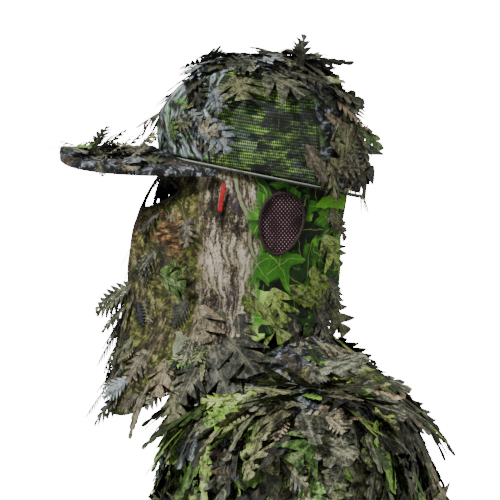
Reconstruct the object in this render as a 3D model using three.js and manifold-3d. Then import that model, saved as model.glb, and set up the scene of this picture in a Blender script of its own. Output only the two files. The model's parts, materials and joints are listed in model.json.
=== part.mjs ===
// A woodland ghillie suit, worn: a zip jacket and a cap with a visor and a built-in face mask.
//
// Millimetres, +Z up. The wearer faces -Y and their left side is +X. The origin is the centre of the
// neck opening, at the height where the jacket lies on the wearer's neck. Every cloth piece is drawn
// as a wall that holds the cloth and the roots of the cut leaves sewn to it.
import * as THREE from "three";
import { mergeVertices } from "three/addons/utils/BufferGeometryUtils.js";
import Module from "manifold-3d";

const wasm = await Module();
wasm.setup();

// ---------- Driving dimensions ----------

const GAP = 0.4; // between pieces that are sewn together
const JACKET_WALL = 4;
const MASK_WALL = 2;
const CROWN_WALL = 4;

// Cross-sections, lowest first: height, half width, front, back, and how square the section is.
const TORSO = [
  [-700, 192, -140, 140, 2.4],
  [-560, 182, -140, 138, 2.4],
  [-400, 168, -140, 140, 2.4],
  [-235, 163, -140, 142, 2.4],
  [-175, 178, -140, 138, 2.5],
  [-115, 192, -140, 124, 2.5],
  [-70, 188, -124, 108, 2.4],
  [-36, 152, -97, 86, 2.15],
  [-10, 90, -68, 60, 2.0],
  [6, 58, -51, 27, 2.0],
];
const TORSO_CENTRE_Y = -5;

// The mask's end with the place of its widest point, from front to back.
const MASK = [
  [-80, 128, -195, 38, -60],
  [-50, 122, -191, 38, -60],
  [-25, 110, -188, 38, -60],
  [0, 93, -183, 38, -60],
  [22, 80, -179, 38, -60],
  [45, 77, -174, 39, -60],
  [80, 80, -171, 41, -60],
  [113, 81, -167, 43, -58],
  [132, 81, -159, 46, -54],
  [152, 80, -146, 50, -48],
  [174, 78.4, -134.3, 53.6, -42],
];
const MASK_TOP = 12; // how far the mask runs up behind the sweatband
const MASK_SEAM = 79; // degrees from the front, where the face and side panels are sewn
// Height of the mask's lower edge, for degrees from the front: a drape on the chest, the nape behind.
const MASK_HEM = [
  [0, -72],
  [35, -74],
  [50, -58],
  [65, -36],
  [80, -16],
  [95, -4],
  [110, 8],
  [140, 14],
  [180, 16],
];

// The crown's cross-sections, by share of the height from the band to the top.
const CROWN = [
  [0, 88, -143, 62, 2.1],
  [0.2, 90, -144, 63, 2.1],
  [0.46, 87, -139, 60, 2.1],
  [0.68, 76, -122, 43, 2.05],
  [0.84, 57, -101, 25, 2.0],
  [0.94, 31, -76, 8, 2.0],
];
const CROWN_CENTRE_Y = -40;
const CROWN_TOP = 284;
const CROWN_PEAK_Y = -36;
const BAND_HEIGHT = 168; // of the cap's lower edge, at BAND_Y
const BAND_Y = -75;
const BAND_SLOPE = -0.2; // the cap sits lower at the nape
const SWEATBAND_SHARE = 0.25; // of the crown's height
const MESH_FROM = 57; // degrees from the front, of the crown's side mesh
const MESH_TO = 127;
const CROWN_PANEL_TOP = 0.84; // share of the height where the side panels meet the top panel

const VISOR = { halfWidth: 84, tip: -236, side: -104, arch: 25, rise: 187, droop: 0.01, gap: 5, square: 7 };
const VISOR_CLOTH = 1.6;
const VISOR_BOARD = 2.2;

const SHOULDER = new THREE.Vector3(196, 8, -95);
const ARM_LEAN = THREE.MathUtils.degToRad(16); // away from the body
const SHOULDER_DOME = 62;
// The sleeve's radius, by distance down the arm from the shoulder.
const SLEEVE = [
  [0, 70],
  [142, 66],
  [250, 62],
  [300, 61],
  [350, 60],
  [560, 52],
];
const ARMHOLE_END = 142; // down the arm, where the sleeve hangs clear of the body
const ELBOW = 300;
const ELBOW_HALF = 80;
const SLEEVE_END = 560;
const CUFF_END = 600;
const CUFF_RADIUS = 44;

const HEM_HEIGHT = 34;
const COLLAR = { top: 42, halfWidth: 56, front: -49, back: 25, wall: 3 };

const FRONT_OPENING = 11; // half the width between the two front edges
const ZIP = { top: -122, bottom: -690, tapeHalf: 14, beadInner: 1, beadOuter: 3.2 };
const SLIDER = { top: -130, height: 14, halfWidth: 6.5 };
const PULL = { halfWidth: 3.5, length: 28, thick: 1.6 };

const radians = THREE.MathUtils.degToRad;
const UP = new THREE.Vector3(0, 0, 1);

// ---------- Solids ----------

// A closed mesh as a solid that can be joined and cut.
function solidOf(geometry) {
  const bare = geometry.index ? geometry.toNonIndexed() : geometry.clone();
  bare.deleteAttribute("normal");
  bare.deleteAttribute("uv");
  const merged = mergeVertices(bare, 1e-3);
  return new wasm.Manifold(
    new wasm.Mesh({
      numProp: 3,
      vertProperties: merged.attributes.position.array,
      triVerts: new Uint32Array(merged.index.array),
    }),
  );
}

function geometryOf(solid) {
  const mesh = solid.getMesh();
  const geometry = new THREE.BufferGeometry();
  geometry.setAttribute("position", new THREE.BufferAttribute(mesh.vertProperties, 3));
  geometry.setIndex(new THREE.BufferAttribute(mesh.triVerts, 1));
  geometry.computeVertexNormals();
  return geometry;
}

// The largest of a solid's separate bodies: cutting a curved wall can leave a sliver.
function largest(solid) {
  return solid.decompose().sort((a, b) => b.volume() - a.volume())[0];
}

function box(x0, x1, y0, y1, z0, z1) {
  const geometry = new THREE.BoxGeometry(x1 - x0, y1 - y0, z1 - z0);
  return solidOf(geometry.translate((x0 + x1) / 2, (y0 + y1) / 2, (z0 + z1) / 2));
}

// ---------- Curves and skins ----------

// A smooth run through rows of numbers, read by its first column.
function curveBy(rows) {
  const slope = (column, i) => {
    const a = rows[Math.max(i - 1, 0)];
    const b = rows[Math.min(i + 1, rows.length - 1)];
    return (b[column] - a[column]) / (b[0] - a[0]);
  };
  return (key) => {
    const last = rows.length - 2;
    let i = 0;
    while (i < last && key > rows[i + 1][0]) i += 1;
    const span = rows[i + 1][0] - rows[i][0];
    const t = THREE.MathUtils.clamp((key - rows[i][0]) / span, 0, 1);
    return rows[0].map((_, column) => {
      if (column === 0) return key;
      const [p, q] = [rows[i][column], rows[i + 1][column]];
      const [m, n] = [slope(column, i) * span, slope(column, i + 1) * span];
      const [t2, t3] = [t * t, t * t * t];
      return (2 * t3 - 3 * t2 + 1) * p + (t3 - 2 * t2 + t) * m + (3 * t2 - 2 * t3) * q + (t3 - t2) * n;
    });
  };
}

// A point on a rounded section. The angle is in degrees from the front, towards the wearer's left.
function around(angle, halfWidth, front, back, centreY, square) {
  const s = Math.sin(radians(angle));
  const c = Math.cos(radians(angle));
  const bend = (value) => Math.sign(value) * Math.abs(value) ** (2 / square);
  const depth = c > 0 ? centreY - front : back - centreY;
  return [halfWidth * bend(s), centreY - depth * bend(c)];
}

const torsoAt = curveBy(TORSO);
const maskAt = curveBy(MASK);
const crownAt = curveBy(CROWN);
const hemAt = curveBy(MASK_HEM);
const sleeveAt = curveBy(SLEEVE);

// Skins: each gives a point for an angle and a share of the way up, 0 to 1.
const torsoSkin = (grow, bottom, top) => (angle, share) => {
  const z = bottom + (top - bottom) * share;
  const [, halfWidth, front, back, square] = torsoAt(z);
  const [x, y] = around(angle, halfWidth + grow, front - grow, back + grow, TORSO_CENTRE_Y, square);
  return new THREE.Vector3(x, y, z + (share > 0.999 ? grow : 0));
};

const bandZ = (y) => BAND_HEIGHT + BAND_SLOPE * (y - BAND_Y);

const maskHemZ = (angle) => hemAt(Math.min(Math.abs(angle), 360 - Math.abs(angle)))[1];

const maskSkin = (grow, from = maskHemZ, to = null) => (angle, share) => {
  const bottom = from(angle);
  const [, rimWidth, rimFront, rimBack, rimCentre] = MASK.at(-1);
  const [, rimY] = around(angle, rimWidth, rimFront, rimBack, rimCentre, 2);
  const top = to ? to(angle) : bandZ(rimY) + MASK_TOP;
  const z = bottom + (top - bottom) * share;
  const [, halfWidth, front, back, centreY] = maskAt(z);
  const [x, y] = around(angle, halfWidth + grow, front - grow, back + grow, centreY, 2);
  return new THREE.Vector3(x, y, z);
};

const crownPoint = (angle, share, grow) => {
  const [, halfWidth, front, back, square] = crownAt(share);
  const centreY = THREE.MathUtils.lerp(CROWN_CENTRE_Y, (front + back) / 2, share);
  const [x, y] = around(angle, halfWidth + grow, front - grow, back + grow, centreY, square);
  const bottom = bandZ(y);
  return new THREE.Vector3(x, y, bottom + (CROWN_TOP + grow - bottom) * share);
};

const crownSkin = (grow, from, to) => (angle, share) =>
  crownPoint(angle, from + (to - from) * share, grow);

// The arm's own directions: down the arm, away from the body, and forwards.
function arm(side) {
  return {
    top: new THREE.Vector3(side * SHOULDER.x, SHOULDER.y, SHOULDER.z),
    down: new THREE.Vector3(side * Math.sin(ARM_LEAN), 0, -Math.cos(ARM_LEAN)),
    out: new THREE.Vector3(Math.cos(ARM_LEAN), 0, side * Math.sin(ARM_LEAN)),
    front: new THREE.Vector3(0, -1, 0),
  };
}

const sleeveSkin = (side, grow, lower, upper, radiusAt) => (angle, share) => {
  const { top, down, out, front } = arm(side);
  const along = lower + (upper - lower) * share;
  const radius = radiusAt(along) + grow;
  return top
    .clone()
    .addScaledVector(down, along)
    .addScaledVector(out, radius * Math.sin(radians(angle)))
    .addScaledVector(front, radius * Math.cos(radians(angle)));
};

const sleeveRadius = (along) =>
  along < 0
    ? SLEEVE[0][1] * Math.sqrt(Math.max(0, 1 - (along / SHOULDER_DOME) ** 2))
    : sleeveAt(along)[1];

// ---------- Cloth walls ----------

// A curved wall between a skin and the same skin moved `wall` inwards. `angles` is [from, to] in
// degrees, a full turn makes a ring, `pole` closes the top at one point, and `outward` is the way
// the wall is measured when it isn't square to the skin.
function clothWall(skin, { angles, columns, rows, wall, pole = false, outward = null }) {
  const ring = angles[1] - angles[0] >= 360;
  const width = ring ? columns : columns + 1;
  const positions = [];
  const put = (p) => positions.push(p.x, p.y, p.z) / 3 - 1;
  const outer = [];
  const inner = [];
  const step = 1e-3;
  for (let j = 0; j <= rows; j += 1) {
    const share = j / rows;
    const [low, high] = [Math.max(share - step, 0), Math.min(share + step, 1)];
    const atPole = pole && j === rows;
    outer.push([]);
    inner.push([]);
    for (let i = 0; i < (atPole ? 1 : width); i += 1) {
      const angle = angles[0] + ((angles[1] - angles[0]) * i) / columns;
      const point = skin(angle, share);
      const along = skin(angle + step, share).sub(skin(angle - step, share));
      const up = skin(angle, high).sub(skin(angle, low));
      const square = atPole ? UP : along.cross(up).normalize();
      const normal = outward ?? square;
      outer[j].push(put(point));
      inner[j].push(put(point.clone().addScaledVector(normal, -wall)));
    }
  }
  const faces = [];
  const quad = (a, b, c, d) => {
    if (a !== b && b !== c && a !== c) faces.push(a, b, c);
    if (a !== c && c !== d && a !== d) faces.push(a, c, d);
  };
  const at = (grid, i, j) => grid[j][grid[j].length === 1 ? 0 : i % width];
  for (let j = 0; j < rows; j += 1) {
    for (let i = 0; i < columns; i += 1) {
      quad(at(outer, i, j), at(outer, i + 1, j), at(outer, i + 1, j + 1), at(outer, i, j + 1));
      quad(at(inner, i, j), at(inner, i, j + 1), at(inner, i + 1, j + 1), at(inner, i + 1, j));
    }
    if (ring) continue;
    quad(at(outer, 0, j), at(outer, 0, j + 1), at(inner, 0, j + 1), at(inner, 0, j));
    quad(at(outer, columns, j + 1), at(outer, columns, j), at(inner, columns, j), at(inner, columns, j + 1));
  }
  for (let i = 0; i < columns; i += 1) {
    quad(at(outer, i + 1, 0), at(outer, i, 0), at(inner, i, 0), at(inner, i + 1, 0));
    if (pole) continue;
    quad(at(outer, i, rows), at(outer, i + 1, rows), at(inner, i + 1, rows), at(inner, i, rows));
  }
  return solidOf(new THREE.BufferGeometry()
    .setAttribute("position", new THREE.Float32BufferAttribute(positions, 3))
    .setIndex(faces));
}

// The whole volume inside a ring skin, for cutting its neighbours.
function filled(skin, columns, rows) {
  const positions = [];
  const put = (p) => positions.push(p.x, p.y, p.z) / 3 - 1;
  const grid = [];
  const centres = [0, rows].map((j) => {
    const centre = new THREE.Vector3();
    for (let i = 0; i < columns; i += 1) centre.add(skin((360 * i) / columns, j / rows));
    return put(centre.divideScalar(columns));
  });
  for (let j = 0; j <= rows; j += 1) {
    grid.push([]);
    for (let i = 0; i < columns; i += 1) grid[j].push(put(skin((360 * i) / columns, j / rows)));
  }
  const faces = [];
  for (let i = 0; i < columns; i += 1) {
    const next = (i + 1) % columns;
    for (let j = 0; j < rows; j += 1) {
      faces.push(grid[j][i], grid[j][next], grid[j + 1][next]);
      faces.push(grid[j][i], grid[j + 1][next], grid[j + 1][i]);
    }
    faces.push(centres[0], grid[0][next], grid[0][i]);
    faces.push(centres[1], grid[rows][i], grid[rows][next]);
  }
  return solidOf(new THREE.BufferGeometry()
    .setAttribute("position", new THREE.Float32BufferAttribute(positions, 3))
    .setIndex(faces));
}

// ---------- Scene graph ----------

const suit = new THREE.Group();

const cloth = (color) => new THREE.MeshStandardMaterial({ color, roughness: 0.95, metalness: 0 });
const LEAFY = cloth(0x4b5138);
const BARK = cloth(0x6d6453);
const MESH = cloth(0x2f3b22);
const EAR_MESH = cloth(0x2a1420);
const ELASTIC = cloth(0x35372c);
const TAG = cloth(0xb01a20);
const BOARD = new THREE.MeshStandardMaterial({ color: 0x20231f, roughness: 0.5, metalness: 0 });
const WIRE = new THREE.MeshStandardMaterial({ color: 0xb8babd, roughness: 0.35, metalness: 1 });
const NICKEL = new THREE.MeshStandardMaterial({ color: 0x3a3c38, roughness: 0.4, metalness: 1 });
const NYLON = new THREE.MeshStandardMaterial({ color: 0x3c3f33, roughness: 0.6, metalness: 0 });

function add(name, solid, material) {
  const mesh = new THREE.Mesh(geometryOf(solid), material);
  mesh.name = name;
  suit.add(mesh);
}

// ---------- Jacket ----------

const TORSO_COLUMNS = 32;
const TORSO_ROWS = 10;
const SIDES = { left: 1, right: -1 };
const sleeveBlock = (side, grow) =>
  filled(sleeveSkin(side, grow, ARMHOLE_END, -SHOULDER_DOME * 0.999, sleeveRadius), 20, 9);

function jacketBody() {
  const [bottom, top] = [TORSO[0][0], TORSO.at(-1)[0]];
  const skin = torsoSkin(0, bottom, top);
  const armholes = sleeveBlock(1, GAP).add(sleeveBlock(-1, GAP));
  const opening = box(-FRONT_OPENING, FRONT_OPENING, -300, 0, -900, 200);
  const panel = (from, to) => {
    const columns = Math.round((TORSO_COLUMNS * (to - from)) / 360);
    const whole = clothWall(skin, { angles: [from, to], columns, rows: TORSO_ROWS, wall: JACKET_WALL });
    return whole.subtract(armholes);
  };
  const seam = 0.15; // degrees left between the panels at a seam
  add("back_panel", largest(panel(90 + seam, 270 - seam)), LEAFY);
  add("front_panel_left", largest(panel(1, 90 - seam).subtract(opening)), LEAFY);
  add("front_panel_right", largest(panel(-90 + seam, -1).subtract(opening)), LEAFY);
}

// A stand collar that the mask's neck hides, open at the front.
function collar() {
  const skin = (angle, share) => {
    const z = TORSO.at(-1)[0] + GAP + (COLLAR.top - TORSO.at(-1)[0]) * share;
    const [x, y] = around(angle, COLLAR.halfWidth, COLLAR.front, COLLAR.back, TORSO_CENTRE_Y, 2);
    return new THREE.Vector3(x, y, z);
  };
  add("collar", clothWall(skin, { angles: [12, 348], columns: 28, rows: 1, wall: COLLAR.wall }), LEAFY);
}

// The elastic band along the jacket's lower edge, open at the zip.
function hemBand() {
  const top = TORSO[0][0] - GAP;
  const skin = (angle, share) => {
    const [x, y] = around(angle, TORSO[0][1], TORSO[0][2], TORSO[0][3], TORSO_CENTRE_Y, TORSO[0][4]);
    return new THREE.Vector3(x, y, top - HEM_HEIGHT * (1 - share));
  };
  const opening = box(-FRONT_OPENING, FRONT_OPENING, -300, 0, -900, 200);
  const ring = clothWall(skin, { angles: [0, 360], columns: TORSO_COLUMNS, rows: 1, wall: 6 });
  add("hem_band", ring.subtract(opening), ELASTIC);
}

function sleeve(name, side) {
  const columns = 16;
  const ring = { angles: [0, 360], columns, wall: JACKET_WALL };
  const tube = (from, to, rows, radiusAt = sleeveRadius, wall = JACKET_WALL) =>
    clothWall(sleeveSkin(side, 0, to, from, radiusAt), { ...ring, rows, wall });
  const dome = sleeveSkin(side, 0, ARMHOLE_END, -SHOULDER_DOME, sleeveRadius);
  const domeEased = (angle, share) => dome(angle, Math.sin((share * Math.PI) / 2));
  const body = filled(torsoSkin(GAP, TORSO[0][0], TORSO.at(-1)[0]), TORSO_COLUMNS, TORSO_ROWS);
  const cap = clothWall(domeEased, { ...ring, rows: 8, pole: true });
  add(`sleeve_cap_${name}`, largest(cap.subtract(body)), LEAFY);
  const [bendTop, bendEnd] = [ELBOW - ELBOW_HALF, ELBOW + ELBOW_HALF];
  add(`upper_sleeve_${name}`, tube(ARMHOLE_END + GAP, bendTop - GAP, 1), LEAFY);
  add(`elbow_section_${name}`, tube(bendTop, bendEnd, 2), LEAFY);
  add(`lower_sleeve_${name}`, tube(bendEnd + GAP, SLEEVE_END - GAP, 2), LEAFY);
  add(`cuff_${name}`, tube(SLEEVE_END, CUFF_END, 1, () => CUFF_RADIUS, 5), ELASTIC);
}

// The zip lies behind the front edges: two tapes with their bead of coil, a bottom stop, and the
// slider whose two plates hold the beads between them.
function zip() {
  const tapeBack = -131.9;
  const tape = { front: tapeBack - 1.2, back: tapeBack };
  const bead = { front: tapeBack - 3.4, back: tapeBack + 1.2 };
  const stop = 8; // height of the bottom stop
  for (const [name, side] of Object.entries(SIDES)) {
    const span = (a, b) => (side > 0 ? [a, b] : [-b, -a]);
    const tapeSpan = span(ZIP.beadOuter - 0.6, ZIP.tapeHalf);
    const beadSpan = span(ZIP.beadInner, ZIP.beadOuter);
    const beadBottom = ZIP.bottom + stop + GAP;
    const strip = box(...tapeSpan, tape.front, tape.back, ZIP.bottom, ZIP.top);
    const coil = box(...beadSpan, bead.front, bead.back, beadBottom, ZIP.top);
    add(`zip_tape_${name}`, strip.add(coil), NYLON);
  }
  add(
    "zip_bottom_stop",
    box(-2.2, 2.2, bead.front, bead.back, ZIP.bottom, ZIP.bottom + stop),
    NICKEL,
  );
  const [low, high] = [SLIDER.top - SLIDER.height, SLIDER.top];
  const plateFront = bead.front - 0.5;
  const faceBottom = plateFront - 1.5;
  const half = SLIDER.halfWidth;
  const frontPlate = box(-half, half, faceBottom, plateFront, low, high);
  const backPlate = box(-half, half, bead.back + 0.5, bead.back + 1.8, low, high);
  const post = box(-0.5, 0.5, faceBottom, bead.back + 1.8, high - 5, high);
  const bailArm = (x) => box(x, x + 1.2, faceBottom - 3, faceBottom + 0.3, high - 9, high - 5.6);
  const bail = bailArm(-4.9).add(bailArm(3.7));
  add("zip_slider", frontPlate.add(backPlate).add(post).add(bail), NICKEL);
  const pivot = high - 7.3;
  const pullFront = faceBottom - 2.4;
  const [pullBottom, pullTop] = [pivot - PULL.length, pivot + 1];
  const tab = box(-PULL.halfWidth, PULL.halfWidth, pullFront, pullFront + PULL.thick, pullBottom, pullTop);
  add("zip_pull_tab", tab, NICKEL);
}

// ---------- Cap ----------

function crown() {
  const panel = (from, to, columns) =>
    clothWall(crownSkin(0, 0, CROWN_PANEL_TOP), { angles: [from, to], columns, rows: 5, wall: CROWN_WALL });
  const seam = 0.2; // degrees left between the panels at a seam
  add("crown_front_panel", panel(-MESH_FROM + seam, MESH_FROM - seam, 12), LEAFY);
  add("crown_mesh_left", panel(MESH_FROM, MESH_TO, 7), MESH);
  add("crown_mesh_right", panel(-MESH_TO, -MESH_FROM, 7), MESH);
  add("crown_rear_panel", panel(MESH_TO + seam, 360 - MESH_TO - seam, 11), LEAFY);
  const top = (angle, share) => {
    const reach = 0.94; // the last section before the top closes
    const from = CROWN_PANEL_TOP + 0.006;
    if (share < 0.6) return crownPoint(angle, from + ((reach - from) * share) / 0.6, 0);
    const rim = crownPoint(angle, reach, 0);
    const peak = new THREE.Vector3(0, CROWN_PEAK_Y, CROWN_TOP);
    return rim.lerp(peak, (share - 0.6) / 0.4);
  };
  add(
    "crown_top_panel",
    clothWall(top, { angles: [0, 360], columns: 24, rows: 5, wall: CROWN_WALL, pole: true }),
    LEAFY,
  );
}

// Rings at the cap's lower edge: the sweatband inside it and the binding under it.
function capBand() {
  const ring = { angles: [0, 360], columns: 32, rows: 1 };
  const inside = -CROWN_WALL - GAP - 0.8;
  add("sweatband", clothWall(crownSkin(inside, 0.01, SWEATBAND_SHARE), { ...ring, wall: 1.4 }), ELASTIC);
  const under = (angle, share) => crownPoint(angle, 0, 0.4).addScaledVector(UP, -GAP - 3 * (1 - share));
  add("cap_edge_binding", clothWall(under, { ...ring, wall: CROWN_WALL + 1 }), ELASTIC);
}

// The visor is a round-fronted tongue whose rear edge follows the crown. It arches over X.
// `across` runs from -1 to 1 between its sides, and a share of 0 is its rear edge.
const visorSkin = (inset, rearGap, lift) => (across, share) => {
  const halfWidth = VISOR.halfWidth - inset;
  const x = halfWidth * Math.sin((across * Math.PI) / 2);
  const [rimWidth, rimDepth] = [CROWN[0][1] + rearGap, CROWN_CENTRE_Y - CROWN[0][2] + rearGap];
  const rear = CROWN_CENTRE_Y - rimDepth * Math.sqrt(1 - Math.min(Math.abs(x) / rimWidth, 1) ** 2);
  const curl = Math.sqrt(Math.max(1 - Math.abs(x / halfWidth) ** VISOR.square, 0));
  const [side, tip] = [VISOR.side + inset, VISOR.tip + inset];
  const y = THREE.MathUtils.lerp(rear, side + (tip - side) * curl, share);
  const z = VISOR.rise - VISOR.arch * (x / VISOR.halfWidth) ** 2 + (y + 147) * VISOR.droop;
  return new THREE.Vector3(x, y, z + lift);
};

// A plate that follows the visor's arch, from `low` to `high` above its middle surface.
const visorPlate = (inset, rearGap, low, high) => {
  const grid = { angles: [-1, 1], columns: 14, rows: 2, wall: high - low, outward: UP };
  const topFace = visorSkin(inset, rearGap, high);
  return clothWall((across, share) => topFace(across, 1 - share), grid);
};

function visor() {
  const half = VISOR_BOARD / 2;
  const coverLow = half + GAP;
  add("visor_board", visorPlate(5, VISOR.gap + 3, -half, half), BOARD);
  add("visor_top_cloth", visorPlate(1.5, VISOR.gap, coverLow, coverLow + VISOR_CLOTH), LEAFY);
  add("visor_under_cloth", visorPlate(1.5, VISOR.gap, -coverLow - VISOR_CLOTH, -coverLow), LEAFY);
  const rim = visorPlate(-1.5, VISOR.gap, -3.4, 3.4);
  const core = visorPlate(1.5 - GAP, VISOR.gap - 8, -6, 6);
  add("visor_edge_binding", largest(rim.subtract(core)), ELASTIC);
}

// ---------- Face mask ----------

// An eye opening seen from the front: tall by the nose, narrow at the temple.
function eyeOutline(side, grow) {
  const shape = new THREE.Shape();
  const [inner, outer] = [10 - grow, 58 + grow];
  const [high, low, temple] = [158 + grow, 129 - grow, 144];
  shape.moveTo(inner, high);
  shape.quadraticCurveTo(43, high + 4, outer, temple);
  shape.quadraticCurveTo(47, low - 4, inner + 4, low);
  shape.closePath();
  const geometry = new THREE.ExtrudeGeometry(shape, { depth: 150, bevelEnabled: false, curveSegments: 5 });
  // The outline is drawn in X and Z, and cuts from the face's front back to its middle.
  geometry.rotateX(Math.PI / 2).translate(0, -75, 0);
  const cutter = solidOf(geometry);
  return side > 0 ? cutter : cutter.mirror([1, 0, 0]);
}

// An ear opening seen from the side: an egg with its narrow end down and forward.
function earOutline(side, grow) {
  const [centreY, centreZ, halfWidth, halfHeight] = [-20, 113, 20, 29];
  const lean = radians(12);
  const points = [];
  const sides = 18;
  for (let i = 0; i < sides; i += 1) {
    const turn = (2 * Math.PI * i) / sides;
    const narrow = 1 + 0.14 * Math.sin(turn);
    const across = (halfWidth + grow) * Math.cos(turn) * narrow;
    const up = (halfHeight + grow) * Math.sin(turn);
    points.push(new THREE.Vector2(
      centreY + across * Math.cos(lean) + up * Math.sin(lean),
      centreZ + up * Math.cos(lean) - across * Math.sin(lean),
    ));
  }
  const geometry = new THREE.ExtrudeGeometry(new THREE.Shape(points), { depth: 90, bevelEnabled: false });
  // Y and Z of the outline become the cutter's Y and Z, and its depth runs out along X.
  geometry.applyMatrix4(new THREE.Matrix4().set(0, 0, 1, 20, 1, 0, 0, 0, 0, 1, 0, 0, 0, 0, 0, 1));
  const cutter = solidOf(geometry);
  return side > 0 ? cutter : cutter.mirror([1, 0, 0]);
}

function mask() {
  const binding = 3; // width of the edging round an opening
  const rows = 10;
  const wall = (from, to, columns, grow = 0, thick = MASK_WALL) =>
    clothWall(maskSkin(grow), { angles: [from, to], columns, rows, wall: thick });
  const seam = 0.25; // degrees left between the panels at a seam
  const eyes = [1, -1].map((side) => eyeOutline(side, binding + GAP));
  const face = wall(-MASK_SEAM + seam, MASK_SEAM - seam, 20);
  add("mask_face_panel", face.subtract(eyes[0]).subtract(eyes[1]), BARK);
  for (const [name, side] of Object.entries(SIDES)) {
    const [from, to] = side > 0 ? [MASK_SEAM, 180 - seam / 2] : [-180 + seam / 2, -MASK_SEAM];
    const flank = wall(from, to, 11);
    add(`mask_side_${name}`, largest(flank.subtract(earOutline(side, binding + GAP))), BARK);
    const proud = wall(-MASK_SEAM + seam, MASK_SEAM - seam, 20, 0.6, 3.2);
    const eyeRing = eyeOutline(side, binding).subtract(eyeOutline(side, 0));
    add(`eye_binding_${name}`, largest(proud.intersect(eyeRing)), ELASTIC);
    const proudFlank = wall(from, to, 11, 0.6, 3.2);
    const earRing = earOutline(side, binding).subtract(earOutline(side, 0));
    add(`ear_binding_${name}`, largest(proudFlank.intersect(earRing)), ELASTIC);
    add(`ear_mesh_${name}`, largest(flank.intersect(earOutline(side, -GAP))), EAR_MESH);
  }
}

// A strip of soft metal inside the mask, under the eyes, that is pinched to the nose.
function noseWire() {
  const inside = maskSkin(-MASK_WALL - 2, () => 118, () => 123);
  add("nose_wire", clothWall(inside, { angles: [-24, 24], columns: 8, rows: 1, wall: 0.9 }), WIRE);
}

// A blank folded tag sewn into the mask's left seam.
function sideTag() {
  const [width, length, thick] = [5, 27, 1.2];
  const geometry = new THREE.BoxGeometry(thick, width, length);
  geometry.rotateX(radians(-9)).translate(82, -77, 138);
  add("side_tag", solidOf(geometry), TAG);
}

jacketBody();
collar();
hemBand();
for (const [name, side] of Object.entries(SIDES)) sleeve(name, side);
zip();
crown();
capBand();
visor();
mask();
noseWire();
sideTag();

export default suit;
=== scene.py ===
"""A woodland ghillie suit: a leafy zip jacket, and a visor cap with a built-in face mask."""

import json
import math
import random

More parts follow.
